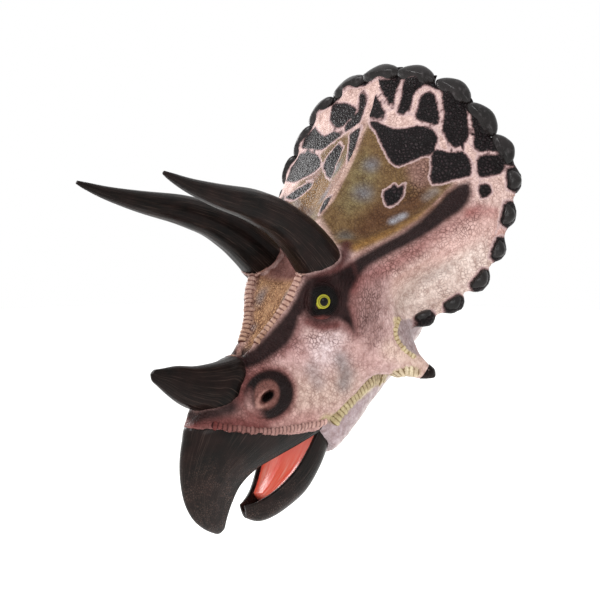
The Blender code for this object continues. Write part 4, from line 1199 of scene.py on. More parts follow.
@dataclass
class Skin:
    """The whole painted hide in one sheet: face, frill, neck and jaw.

    Past a horn's border the hide lies at least tuck below the horn, and short of it at least lap above. In
    the sockets it lies lid_gap below the lids. The ridge is given as (fore, side).
    """

    view: PhotoView
    nodes: dict[str, bpy.types.Object]
    voxel: float = 0.0085
    grow: float = 0.0005
    smoothing: int = 7
    back_share: float = 0.22
    eye_at: Row = (0.109, 0.086, -0.056)
    eye_radius: float = 0.030
    eye_pixel: Pixel = (324.3, 301.8)
    eye_off: float = 0.0105
    nostril_pixel: Pixel = (268, 395)
    nostril_reach: float = 0.068
    nostril_slant: float = math.radians(36)
    socket_reach: float = 0.060
    lid_gap: float = 0.0035
    tuck: float = 0.0030
    lap: float = 0.0024
    beak_border: tuple[Row, Row] = ((0.0, 0.560, 0.000), (0.0, 0.334, -0.304))
    lip: tuple[Pixel, ...] = (
        (190, 425), (200, 427), (215, 429), (230, 431), (250, 434), (275, 434), (300, 430), (318, 426),
         (331, 424),
    )
    ridge: tuple[tuple[float, float], ...] = (
        (0.040, 0.095), (0.065, 0.086), (0.118, 0.077), (0.162, 0.061), (0.219, 0.038), (0.258, 0.027),
         (0.320, 0.022),
    )
    obj: bpy.types.Object = field(init=False)
    surface: Surface = field(init=False)

    def build(self, finish: bpy.types.Material) -> bpy.types.Object:
        """Models, paints and dresses the hide.

        Args:
            finish: The painted hide's material.

        Returns:
            The piece.
        """
        self.obj = self.one_sheet()
        self.thin_out_back()
        self.refine(self.face_faces(), "face")
        self.refine(self.frill_faces(), "frill's front")
        self.surface = Surface(self.obj, self.view)
        self.refine(self.detail_faces(), "nostrils")
        self.surface = Surface(self.obj, self.view)
        self.wrinkle()
        self.sculpt_folds()
        self.sculpt_ridges()
        self.sculpt_nostrils()
        self.clear_eye_sockets()
        for seat in SEATS:
            self.fit_round(seat)
        self.surface = Surface(self.obj, self.view)
        self.paint()
        choose(self.obj)
        bpy.ops.object.shade_smooth()
        return piece(self.obj, Slot.SKIN, finish, "face", "frill", "neck", "jaw")

    def one_sheet(self) -> bpy.types.Object:
        """Fuses copies of the solids into one even, smooth surface, with the sockets of the horns filled."""
        copies = []
        for name in ("face", "frill", "neck", "jaw", "cheek_horn_left", "cheek_horn_right"):
            made = copy_of_node(self.nodes[name], name + "_copy")
            swell(made, 0.0045 if name.startswith("cheek") else self.grow)
            copies.append(made)
        for side in Side:
            level = [(0.100 * side.value, 0, 0.020)]
            copies.append(self.root_of("brow_horn_" + side.label, 0.0030, level, (-0.20 * side.value, 0, 1)))
            made = copy_of_node(self.nodes["eye_" + side.label], "eye_copy")
            swell(made, -0.0015)
            copies.append(made)
        copies.append(self.root_of("nose_horn", -0.004, [(0, 0.4, 0.010)], (0, 0, 1)))
        low, high = np.array(self.beak_border[1]), np.array(self.beak_border[0])
        across = (high - low)[[0, 2, 1]] * (0, -1, 1)
        copies.append(self.root_of("upper_beak", 0.0040, [tuple(high)], (0, -float(across[1]), -float(across[2]))))
        whole = fuse("skin", copies)
        apply_modifier(whole, "REMESH", mode="VOXEL", voxel_size=self.voxel)
        apply_modifier(whole, "SMOOTH", factor=0.5, iterations=self.smoothing)
        return whole

    def root_of(self, name: str, by: float, level: Sequence[Row], way: Row) -> bpy.types.Object:
        """The part of a node that lies behind a plane, swollen a little.

        Args:
            name: The node.
            by: How far its surface is moved out.
            level: A point of the plane, as (side, fore, up).
            way: The plane's normal in the same axes, pointing to what is taken away.

        Returns:
            The copy.
        """
        made = copy_of_node(self.nodes[name], name + "_copy")
        swell(made, by)
        normal = HEAD.world([way])[0] - HEAD.world([(0, 0, 0)])[0]
        with editing(made):
            bpy.ops.mesh.bisect(plane_co=HEAD.world(level)[0], plane_no=normal, use_fill=True, clear_outer=True)
        return made

    def thin_out_back(self) -> None:
        """Leaves fewer faces on the frill's back and the neck, where the hide is plain."""
        places, ways = HEAD.local(points_of(self.obj)), HEAD.local_way(normals_of(self.obj))
        behind = (places[:, 1] < -0.03) & (ways[:, 2] < -0.25) & (places[:, 2] > -0.30)
        world = points_of(self.obj)
        behind |= world[:, 1] > -0.36
        group = self.obj.vertex_groups.new(name="plain_back")
        group.add([int(i) for i in np.flatnonzero(behind)], 1.0, "REPLACE")
        ratio = 1 - (1 - self.back_share) * float(behind.mean())
        apply_modifier(self.obj, "DECIMATE", ratio=ratio, vertex_group="plain_back", vertex_group_factor=10.0)
        self.obj.vertex_groups.clear()
        LOG.info("skin thinned behind: %d faces", len(self.obj.data.polygons))

    def centres(self) -> np.ndarray:
        """The middles of the sheet's faces."""
        flat = np.zeros(len(self.obj.data.polygons) * 3)
        self.obj.data.polygons.foreach_get("center", flat)
        return flat.reshape(-1, 3)

    def face_faces(self) -> np.ndarray:
        """Which faces lie on the face, in front of the frill's hollow."""
        centres = self.centres()
        place = HEAD.local(centres)
        ahead = place[:, 1] > -0.035 - 0.25 * np.clip(place[:, 2] + 0.05, -1, 0)
        return ahead & (place[:, 2] > -0.37) & (centres[:, 1] < -0.40)

    def frill_faces(self) -> np.ndarray:
        """Which faces lie on the frill's front, where the patches have crisp edges."""
        flat = np.zeros(len(self.obj.data.polygons) * 3)
        self.obj.data.polygons.foreach_get("normal", flat)
        place, way = HEAD.local(self.centres()), HEAD.local_way(flat.reshape(-1, 3))
        ahead = place[:, 1] > -0.035 - 0.25 * np.clip(place[:, 2] + 0.05, -1, 0)
        crown = (place[:, 1] < -0.12) & (way[:, 2] > 0.10) & (place[:, 2] > -0.19 + 0.25 * (place[:, 1] + 0.5))
        return crown & ~ahead

    def detail_faces(self) -> np.ndarray:
        """Which faces lie near the nostrils."""
        spot = HEAD.local(np.array(self.surface.under(self.nostril_pixel)[0]))
        return np.linalg.norm(laid_left(HEAD.local(self.centres())) - spot, axis=1) < self.nostril_reach

    def refine(self, chosen: np.ndarray, what: str) -> None:
        """Splits the chosen faces in four and smooths them.

        Args:
            chosen: Which faces are split.
            what: What the log calls them.
        """
        choose(self.obj)
        bpy.ops.object.mode_set(mode="EDIT")
        bpy.ops.mesh.select_all(action="DESELECT")
        bpy.ops.object.mode_set(mode="OBJECT")
        self.obj.data.polygons.foreach_set("select", chosen)
        bpy.ops.object.mode_set(mode="EDIT")
        bpy.ops.mesh.select_mode(type="FACE")
        bpy.ops.mesh.subdivide(number_cuts=1, smoothness=0.0)
        bpy.ops.mesh.vertices_smooth(factor=0.5, repeat=3)
        bpy.ops.object.mode_set(mode="OBJECT")
        LOG.info("skin refined at the %s: %d faces", what, len(self.obj.data.polygons))

    def lift(self, heights: np.ndarray) -> None:
        """Moves each point of the hide out along its normal."""
        move_points(self.obj, points_of(self.obj) + normals_of(self.obj) * heights[:, None])

    def folded(self) -> np.ndarray:
        """Each point of the hide as (side, fore, up), with the right side laid over the left."""
        return laid_left(HEAD.local(points_of(self.obj)))

    def wrinkle(self) -> None:
        """Presses slow creases into the hide of face, frill and neck."""
        places = points_of(self.obj)
        local = self.folded()
        heights = np.zeros(len(places))
        for scale, height in ((17.0, 0.0022), (41.0, 0.0014)):
            waves = np.array([noise.noise(Vector(place * (1.0, 1.0, 0.6)) * scale) for place in places])
            heights += height * (0.35 - np.abs(waves)) * 2
        panel = ramp(self.ridge_gap(local), 0.0, -0.010) * ramp(local[:, 1], 0.03, 0.07)
        neck = 1 - ramp(Surface(self.nodes["neck"], self.view).distance(places), 0.002, 0.012)
        folds = np.sin(2 * math.pi * (places[:, 1] + 0.3 * heights * 20) / 0.046)
        self.lift(heights * (1 - 0.8 * panel) + 0.0022 * folds * neck)

    def ridge_gap(self, local: np.ndarray) -> np.ndarray:
        """How far outside the muzzle's side ridge each point lies; negative towards the midline."""
        fores, sides = np.array(self.ridge).T
        return local[:, 0] - np.interp(local[:, 1], fores, sides)

    def sculpt_ridges(self) -> None:
        """Raises the ridge on each side of the muzzle, with shallow ribs along the panel between them."""
        local, ways = self.folded(), HEAD.local_way(normals_of(self.obj))
        gap = self.ridge_gap(local)
        on = ramp(local[:, 1], 0.040, 0.075) * (1 - ramp(local[:, 1], 0.300, 0.345)) * ramp(ways[:, 2], -0.1, 0.2)
        heights = 0.0060 * hill(gap / 0.019) * on - 0.0030 * hill((gap - 0.024) / 0.010) * on
        ribs = 0.0009 * np.sin(2 * math.pi * local[:, 0] / 0.0105) * ramp(-gap, 0.012, 0.022) * on
        self.lift(heights + ribs)

    def sculpt_folds(self) -> None:
        """Raises and sinks the hide along its folds."""
        local = self.folded()
        heights = np.zeros(len(local))
        for fold in FOLDS:
            gap = distance_to_line(local, self.surface.path(fold.line, fold.inner))
            heights += fold.height * hill(gap / fold.width)
        self.lift(heights)

    def eye_frame(self) -> tuple[np.ndarray, np.ndarray]:
        """The left eyeball's middle and the way it looks, in the room.

        The ball sits a little nearer to the line of sight through the eye than its solid does, so that the
        iris looks out squarely.
        """
        middle = HEAD.world([self.eye_at])[0]
        start, way = self.view.place(), self.view.ray(self.eye_pixel)
        off = start + way * (Vector(middle) - start).dot(way) - Vector(middle)
        middle = middle + np.array(off) * (1 - self.eye_off / off.length)
        off = off.normalized() * self.eye_off
        reach = math.sqrt(self.eye_radius**2 - self.eye_off**2)
        return middle, unit(np.array(off - way * reach))

    def clear_eye_sockets(self) -> None:
        """Sinks the hide under the lids, which are pieces of their own."""
        middle, look = self.eye_frame()
        places = points_of(self.obj)
        for side in Side:
            ways = places * side.flip - middle
            height = ways @ look
            out = np.linalg.norm(ways - height[:, None] * look, axis=1)
            near = (out < self.socket_reach) & (height > -0.030) & (height < self.socket_reach)
            cover = np.interp(out, *np.array(LID_PROFILE).T) - self.lid_gap
            hold = (1 - ramp(out, 0.041, 0.058)) * near
            sunk = (height + (np.minimum(height, cover) - height) * hold)[:, None]
            moved = middle + ways + (sunk - height[:, None]) * look
            places = np.where(near[:, None], moved * side.flip, places)
        move_points(self.obj, places)

    def fit_round(self, seat: Seat) -> None:
        """Tucks the hide under horns or a beak past their border, and lays it snugly on them short of it.

        Args:
            seat: The horns or the beak, and their border.
        """
        for name in seat.pieces:
            body = bpy.data.objects[name]
            places = points_of(self.obj)
            low, high = points_of(body).min(axis=0) - 0.02, points_of(body).max(axis=0) + 0.02
            close = np.flatnonzero(np.all((places > low) & (places < high), axis=1))
            spots, normals = Surface(body, self.view).nearest(places[close])
            gap = ((places[close] - spots) * normals).sum(axis=1)
            past = ramp(seat.beyond(self.folded()[close]), -0.0015, 0.0020)
            hold = (1 - ramp(gap, 0.007, 0.016)) * (gap > -0.030)
            wanted = past * np.minimum(gap, -self.tuck) + (1 - past) * np.maximum(gap, self.lap)
            places[close] += normals * ((wanted - gap) * hold)[:, None]
            move_points(self.obj, places)

    def nostril_plane(self, places: np.ndarray) -> tuple[np.ndarray, np.ndarray, np.ndarray]:
        """Each point's way right and up from the left nostril as the photograph shows it, and its depth."""
        hit = self.surface.under(self.nostril_pixel)[0]
        across, up = (self.view.flat(places) - self.view.flat(np.array(hit))).T
        return across, up, (places - np.array(hit)) @ np.array(self.view.back())

    def hole_gap(self, across: np.ndarray, up: np.ndarray, long: float, short: float) -> np.ndarray:
        """How far each point is from the slanted hole's middle, as a share of its half length and half width."""
        c, s = math.cos(self.nostril_slant), math.sin(self.nostril_slant)
        return np.hypot((across * c + up * s + 0.002) / long, (-across * s + up * c + 0.003) / short)

    def sculpt_nostrils(self) -> None:
        """Raises a rounded ring on each side of the muzzle, with a slanted hole in its hollow."""
        places = points_of(self.obj)
        out = unit(np.array(self.surface.under(self.nostril_pixel)[1]))
        for side in Side:
            across, up, depth = self.nostril_plane(places * side.flip)
            gap = np.hypot(across, up)
            near = (gap < self.nostril_reach) & (np.abs(depth) < 0.060) & (places[:, 0] * side.value > 0.005)
            ring = 0.0055 * hill((gap - 0.046) / 0.020) - 0.0035 * hill((gap - 0.063) / 0.010)
            dish = -0.0060 * hill(gap / 0.034)
            hole = self.hole_gap(across, up, 0.0185, 0.0105)
            lip = 0.0026 * hill((hole - 1.45) / 0.5)
            bore = -0.022 * (1 - ramp(hole, 0.50, 1.12))
            moved = places * side.flip + out * ((ring + dish + lip + bore) * near)[:, None]
            places = np.where(near[:, None], moved * side.flip, places)
        move_points(self.obj, places)

    def paint(self) -> None:
        """Sprays the paint: soft tones first, then the hard patches and the strength of the cracks."""
        places, ways = points_of(self.obj), HEAD.local_way(normals_of(self.obj))
        local = self.folded()
        solids = ("face", "frill", "neck", "jaw")
        gaps = {name: Surface(self.nodes[name], self.view).distance(places) for name in solids}
        frill = ramp(gaps["face"] - gaps["frill"], -0.010, 0.020) * ramp(-local[:, 1], -0.06, 0.0)
        frill = frill * ramp(gaps["neck"], 0.002, 0.009)
        front = frill * ramp(ways[:, 2], -0.05, 0.12)
        colour = self.ground_coat(local, ways, gaps, frill)
        for area in FRILL_AREAS:
            colour = self.spray_area(colour, area, front)
        colour = self.spray(colour, local, FRILL_MARKS, FRILL_MIDDLE)
        colour = self.muzzle_coat(colour, local, ways)
        colour = self.spray(colour, local, FACE_MARKS, FACE_MIDDLE)
        facing = ramp(self.facing(), -0.05, 0.15)
        for area in (*STRIPE, *FACE_BAND):
            colour = self.spray_area(colour, area, facing)
        colour = self.spray(colour, local, EYE_MARKS, FACE_MIDDLE)
        colour = self.spray_area(colour, CHEEK_GAP, facing)
        colour = self.paint_nostrils(colour, places)
        panel = ramp(-self.ridge_gap(local), 0.0, 0.012)
        panel = panel * ramp(local[:, 1], 0.03, 0.07) * (1 - ramp(local[:, 1], 0.30, 0.36))
        tall = hill((local[:, 1] - 0.02) / 0.16) * ramp(local[:, 0], 0.10, 0.16) * (1 - front)
        keep_values(self.obj, "paint", np.column_stack([colour, np.ones(len(colour))]))
        on_crown = frill * ramp(ways[:, 2], -0.55, -0.35)
        depth = np.where(on_crown > 0.5, self.patch_depth(places), -PATCH_LIMIT)
        keep_values(self.obj, "patch", np.maximum(depth, Scutes().depth_on(local)))
        strength = np.maximum(self.crack_strength(local, front, gaps), 0.9 * panel * ramp(ways[:, 2], 0.0, 0.3))
        keep_values(self.obj, "crack", strength)
        keep_values(self.obj, "panel", panel * ramp(ways[:, 2], 0.0, 0.3))
        keep_values(self.obj, "tall", tall)
        keep_values(self.obj, "rim", ramp(-local[:, 1], -0.01, 0.05))

    def facing(self) -> np.ndarray:
        """How squarely each point looks at the photograph, with the right side laid over the left."""
        sides = np.sign(points_of(self.obj)[:, :1])
        ways = normals_of(self.obj) * np.hstack([sides, np.ones((len(sides), 2))])
        return ways @ np.array(self.view.back())

    def ground_coat(
        self, local: np.ndarray, ways: np.ndarray, gaps: dict[str, np.ndarray], frill: np.ndarray
    ) -> np.ndarray:
        """The first coats of the hide.

        Args:
            local: Each point as (side, fore, up), the right side laid over the left.
            ways: The hide's normal at each point, in the same axes.
            gaps: How far each point is from the solids of the face, frill, neck and jaw.
            frill: How far each point belongs to the frill.

        Returns:
            The colour of each point.
        """
        fore, up = local[:, 1], local[:, 2]
        on_neck = 1 - ramp(np.minimum(gaps["neck"], gaps["jaw"]), 0.003, 0.014)
        colour = np.tile(linear("#CDB0AC"), (len(local), 1))
        coats = (
            ("#C29A94", 0.8 * ramp(fore, 0.20, 0.36)),
            ("#DCC0B8", frill),
            ("#B79187", frill * (1 - ramp(ways[:, 2], -0.05, 0.25))),
            ("#7E5F5A", 0.8 * frill * (1 - ramp(ways[:, 2], -0.05, 0.25)) * ramp(-fore, 0.40, 0.66)),
            ("#B3A2A6", on_neck),
            ("#E4DAD8", on_neck * ramp(-ways[:, 2], 0.1, 0.8) * ramp(-up, 0.20, 0.32)),
        )
        return coated(colour, coats)

    def muzzle_coat(self, colour: np.ndarray, local: np.ndarray, ways: np.ndarray) -> np.ndarray:
        """Sprays the tan panel on top of the muzzle, its grey spots and the pale ridges beside it.

        Args:
            colour: The colour of each point so far.
            local: Each point as (side, fore, up), the right side laid over the left.
            ways: The hide's normal at each point, in the same axes.

        Returns:
            The new colour of each point.
        """
        fore, gap = local[:, 1], self.ridge_gap(local)
        top = ramp(ways[:, 2], -0.1, 0.2) * ramp(fore, 0.030, 0.065) * (1 - ramp(fore, 0.31, 0.37))
        inside = ramp(-gap, 0.004, 0.018) * top
        coats = (
            ("#CDA27C", inside),
            ("#A79E9E", 0.8 * inside * hill((local[:, 0] - 0.045) / 0.020) * hill((fore - 0.115) / 0.050)),
            ("#9FA0A8", 0.8 * inside * hill((local[:, 0] - 0.030) / 0.018) * hill((fore - 0.215) / 0.032)),
            ("#8E8A84", 0.8 * inside * hill(local[:, 0] / 0.030) * hill((fore - 0.300) / 0.050)),
            ("#8A5A4E", 0.8 * inside * (1 - ramp(fore, 0.035, 0.075))),
            ("#BC978C", 0.95 * hill(gap / 0.024) * top),
        )
        brow = ramp(ways[:, 2], -0.1, 0.2) * (1 - ramp(local[:, 0], 0.05, 0.09))
        brow = brow * ramp(fore, -0.10, -0.05) * (1 - ramp(fore, 0.035, 0.070))
        return coated(colour, (*coats, ("#6F4038", 0.85 * brow)))

    def spray(self, colour: np.ndarray, local: np.ndarray, marks: Iterable[Mark], inner: Pixel) -> np.ndarray:
        """Lays soft marks over the colour on both sides of the head.

        Args:
            colour: The colour of each point so far.
            local: Each point as (side, fore, up), the right side laid over the left.
            marks: The marks, in order.
            inner: A pixel well inside the surface, to look towards where a mark's pixel misses it.

        Returns:
            The new colour of each point.
        """
        for mark in marks:
            gap = distance_to_line(local, self.surface.path(mark.line, inner))
            cover = mark.cover * (1 - ramp(gap / mark.width, 1 - mark.soft, 1 + mark.soft))
            colour = coated(colour, [(mark.colour, cover)])
        return colour

    def depth_in(self, outline: Sequence[Pixel], inner: Pixel, far_half: bool = False) -> np.ndarray:
        """How far inside an outline of pixels each point of the hide lies; negative outside.

        It is measured flat, as someone sees it who stands where the photograph was taken, with the right
        half of the head laid over the left one, or the left over the right where far_half says so.

        Args:
            outline: The outline.
            inner: A pixel well inside the surface.
            far_half: Whether the outline lies on the animal's right half.

        Returns:
            The depth of each point.
        """
        line = np.array([self.surface.under(pixel, inner)[0] for pixel in outline])
        if far_half:
            line = line * Side.RIGHT.flip
        return depth_in_outline(self.view.flat(laid_left(points_of(self.obj))), self.view.flat(line))

    def spray_area(self, colour: np.ndarray, area: Area, share: np.ndarray) -> np.ndarray:
        """Fills an area with its colour, feathered at the edge, where the share allows it.

        Args:
            colour: The colour of each point so far.
            area: The area.
            share: How far each point may take it.

        Returns:
            The new colour of each point.
        """
        depth = self.depth_in(area.outline, area.inner, area.far_half)
        cover = area.cover * ramp(depth, -area.feather, area.feather) * share
        if area.far_half:
            cover = cover * (points_of(self.obj)[:, 0] < 0)
        return coated(colour, [(area.colour, cover)])

    def paint_nostrils(self, colour: np.ndarray, places: np.ndarray) -> np.ndarray:
        """Darkens the ring round each nostril, leaves its dish pink and sprays the hole near black as painted
        shade.

        Args:
            colour: The colour of each point so far.
            places: The points in the room.

        Returns:
            The new colour of each point.
        """
        folded = laid_left(places)
        across, up, depth = self.nostril_plane(folded)
        here = (1 - ramp(np.abs(depth), 0.055, 0.075)) * ramp(folded[:, 0], 0.004, 0.012)
        gap = np.hypot(across - 0.003, up - 0.002)
        inner = np.hypot((across + 0.002) / 0.034, (up - 0.004) / 0.041)
        hole = self.hole_gap(across, up, 0.019, 0.011)
        below = ramp(-across - 0.3 * up, 0.012, 0.040) * ramp(-up, 0.010, 0.034)
        tones = (
            ("#844E4B", 0.80 * (1 - ramp(gap, 0.062, 0.084))),
            ("#0E0708", 0.98 * (1 - ramp(gap, 0.056, 0.069)) * (1 - 0.80 * below)),
            ("#80564F", 0.92 * (1 - ramp(inner, 0.74, 1.05))),
            ("#B58A80", 0.75 * hill((hole - 1.5) / 0.55) * ramp(-across, -0.010, 0.010)),
            # The inside of the hole sprayed near black: painted shade in the bore.
            ("#050303", 1 - ramp(hole, 0.75, 1.15)),
        )
        return coated(colour, [(tone, cover * here) for tone, cover in tones])

    def patch_depth(self, places: np.ndarray) -> np.ndarray:
        """How far inside a dark patch each point of the frill lies; negative outside.

        Args:
            places: The points in the room.

        Returns:
            The depth of each point.
        """
        best = np.full(len(places), -PATCH_LIMIT)
        halves = ((LEFT_PATCHES, FRILL_MIDDLE, False), (RIGHT_PATCHES, FRILL_RIGHT_MIDDLE, True))
        for patches, inner, far_half in halves:
            chosen = (places[:, 0] < 0) == far_half
            for patch in patches:
                best = np.where(chosen, np.maximum(best, self.depth_in(patch, inner, far_half)), best)
        return np.clip(best, -PATCH_LIMIT, PATCH_LIMIT)

    def crack_strength(self, local: np.ndarray, front: np.ndarray, gaps: dict[str, np.ndarray]) -> np.ndarray:
        """How strongly the dark lines between the plates show at each point.

        Args:
            local: Each point as (side, fore, up), the right side laid over the left.
            front: How far each point belongs to the frill's front.
            gaps: How far each point is from the solids of the face, frill, neck and jaw.

        Returns:
            The strength at each point, from 0 to 1.
        """
        strength = 0.42 + 0.10 * front
        for line, width, most in CRACK_MARKS:
            gap = distance_to_line(local, self.surface.path(line, FACE_MIDDLE))
            strength = np.maximum(strength, most * (1 - ramp(gap / width, 0.4, 1.6)))
        on_neck = 1 - ramp(np.minimum(gaps["neck"], gaps["jaw"]), 0.003, 0.014)
        return np.clip(strength * (1 - 0.5 * on_neck), 0, 1)


@dataclass(frozen=True)
class BrowHorn:
    """One brow horn: its centre line as (side, fore, up) with its radius, and how finely it is cut."""

    side: Side
    line: tuple[tuple[Row, float], ...] = (
        ((0.098, -0.014, -0.036), 0.0540),
        ((0.099, -0.003, 0.003), 0.0640),
        ((0.105, 0.005, 0.069), 0.0598),
        ((0.110, 0.017, 0.130), 0.0544),
        ((0.117, 0.043, 0.204), 0.0466),
        ((0.123, 0.076, 0.265), 0.0420),
        ((0.130, 0.110, 0.318), 0.0368),
        ((0.139, 0.168, 0.397), 0.0272),
        ((0.148, 0.219, 0.473), 0.0168),
        ((0.154, 0.247, 0.523), 0.0094),
        ((0.157, 0.259, 0.547), 0.0045),
    )
    steps: int = 8
    sides: int = 72

    def rings(self) -> np.ndarray:
        """The horn's rings in the room, shallow grooves included."""
        rows = flowing([(*place, radius) for place, radius in self.line], self.steps)
        path = HEAD.world(rows[:, :3] * self.side.flip)
        return tube_rings(path, rows[:, 3], self.sides, grooved)

    def build(self, finish: bpy.types.Material) -> bpy.types.Object:
        """Models and dresses the horn."""
        name = "brow_horn_" + self.side.label
        obj = drawn_out(name + "_grown", self.rings())
        return piece(obj, Slot.HORN, finish, name)


def grooved(turn: np.ndarray, reach: np.ndarray) -> np.ndarray:
    """How a horn's radius varies round it and along it: long shallow grooves that wander a little."""
    wander = 1.3 * np.sin(9 * reach) + 0.6 * np.sin(23 * reach)
    grooves = 0.010 * np.sin(5 * turn + wander) + 0.006 * np.sin(11 * turn - 1.7 * wander)
    fine = 0.005 * np.sin(17 * turn + 2.1 * wander) * (0.5 + 0.5 * np.sin(14 * reach))
    return 1 + grooves + fine + 0.004 * np.sin(130 * reach) * ramp(0.16 - reach, 0.0, 0.12)


def tube_rings(
    path: np.ndarray,
    radii: np.ndarray,
    sides: int,
    relief: Callable[[np.ndarray, np.ndarray], np.ndarray] | None = None,
) -> np.ndarray:
    """Rings round a path.

    Args:
        path: The centre line in the room.
        radii: The radius at each of its points.
        sides: How many points a ring has.
        relief: The share of the radius to take at each turn and each reach along the path.

    Returns:
        The points of each ring.
    """
    ways = unit(np.gradient(path, axis=0))
    first = unit(np.cross(ways, np.cross(np.tile([1.0, 0.0, 0.0], (len(path), 1)), ways)))
    second = np.cross(ways, first)
    turn = np.linspace(0, 2 * math.pi, sides, endpoint=False)[None, :]
    reach = np.concatenate([[0], np.cumsum(np.linalg.norm(np.diff(path, axis=0), axis=1))])[:, None]
    size = radii[:, None] * (relief(turn, reach) if relief else np.ones((len(path), sides)))
    across = first[:, None] * np.cos(turn)[..., None] + second[:, None] * np.sin(turn)[..., None]
    return path[:, None] + across * size[..., None]


@dataclass(frozen=True)
class NoseHorn:
    """The nose horn: its rear and front edge as (fore, up), then its half width, level by level."""

    levels: tuple[tuple[tuple[float, float], tuple[float, float], float], ...] = (
        ((0.332, -0.078), (0.488, -0.073), 0.066),
        ((0.318, -0.016), (0.503, -0.004), 0.063),
        ((0.349, 0.009), (0.517, 0.032), 0.050),
        ((0.389, 0.043), (0.527, 0.068), 0.038),
        ((0.428, 0.082), (0.532, 0.104), 0.030),
        ((0.461, 0.125), (0.534, 0.138), 0.022),
        ((0.492, 0.155), (0.535, 0.160), 0.013),
        ((0.511, 0.174), (0.528, 0.174), 0.005),
    )
    steps: int = 7
    sides: int = 72

    def rings(self) -> np.ndarray:
        """The horn's rings in the room."""
        rows = flowing([(*rear, *front, width) for rear, front, width in self.levels], self.steps)
        turn = np.linspace(0, 2 * math.pi, self.sides, endpoint=False)[None, :]
        middle, half = (rows[:, :2] + rows[:, 2:4]) / 2, (rows[:, 2:4] - rows[:, :2]) / 2
        reach = np.concatenate([[0], np.cumsum(np.linalg.norm(np.diff(middle, axis=0), axis=1))])[:, None]
        size = grooved(turn, reach)
        side = rows[:, 4][:, None] * np.sin(turn) * size
        flat = middle[:, None] + half[:, None] * (np.cos(turn) * size)[..., None]
        return HEAD.world(np.dstack([side, flat]))

    def build(self, finish: bpy.types.Material) -> bpy.types.Object:
        """Models and dresses the horn."""
        return piece(drawn_out("nose_horn_grown", self.rings()), Slot.HORN, finish, "nose_horn")


@dataclass(frozen=True)
class UpperBeak:
    """The upper beak, from the skin's edge to its tip.

    Each slice gives the ridge and the cutting edge as (fore, up) and the half width at the edge.
    """

    slices: tuple[tuple[tuple[float, float], tuple[float, float], float], ...] = (
        ((0.480, -0.034), (0.300, -0.275), 0.116),
        ((0.546, -0.006), (0.328, -0.300), 0.116),
        ((0.586, -0.022), (0.385, -0.279), 0.102),
        ((0.628, -0.048), (0.455, -0.246), 0.081),
        ((0.664, -0.082), (0.520, -0.218), 0.060),
        ((0.693, -0.124), (0.574, -0.214), 0.043),
        ((0.708, -0.172), (0.618, -0.230), 0.031),
        ((0.707, -0.220), (0.652, -0.250), 0.022),
        ((0.696, -0.262), (0.672, -0.270), 0.012),
        ((0.689, -0.273), (0.682, -0.276), 0.004),
    )
    palate_rise: float = 0.22
    squareness: float = 1.05
    steps: int = 8
    flank_steps: int = 30

    def rings(self) -> np.ndarray:
        """The beak's slices in the room, from inside the skin to the tip, with its strands raised."""
        rows = flowing([(*ridge, *edge, width) for ridge, edge, width in self.slices], self.steps)
        quarter = np.linspace(0, math.pi / 2, self.flank_steps)
        outer = np.column_stack([np.sin(quarter) ** self.squareness, 1 - np.cos(quarter) ** self.squareness])
        inner = [(0.93, 0.985), (0.80, 1 - self.palate_rise * 0.7), (0.40, 1 - self.palate_rise)]
        inner.append((0.0, 1 - self.palate_rise * 1.05))
        inner = flowing([tuple(outer[-1]), *inner], 4)[1:]
        half = np.vstack([outer, inner])
        outline = np.vstack([half, half[-2:0:-1] * (-1, 1)])
        strands = strand_relief(len(outline))
        rings = []
        for number, row in enumerate(rows):
            share = outline[:, 1][:, None]
            flat = row[:2] * (1 - share) + row[2:4] * share
            ring = np.column_stack([outline[:, 0] * row[4], flat])
            middle = ring.mean(axis=0)
            fade = math.sin(math.pi * number / (len(rows) - 1)) ** 0.5
            rings.append(middle + (ring - middle) * (1 + strands * fade)[:, None])
        return HEAD.world(np.array(rings))

    def build(self, finish: bpy.types.Material) -> bpy.types.Object:
        """Models and dresses the beak."""
        return piece(drawn_out("upper_beak_grown", self.rings()), Slot.HORN, finish, "upper_beak")


def strand_relief(count: int) -> np.ndarray:
    """Uneven shallow ribs round a beak, as shares of its size, the same on both sides."""
    turn = np.abs(np.linspace(-math.pi, math.pi, count, endpoint=False))
    return 0.004 * np.sin(19 * turn + 2 * np.sin(3 * turn)) + 0.003 * np.sin(41 * turn)


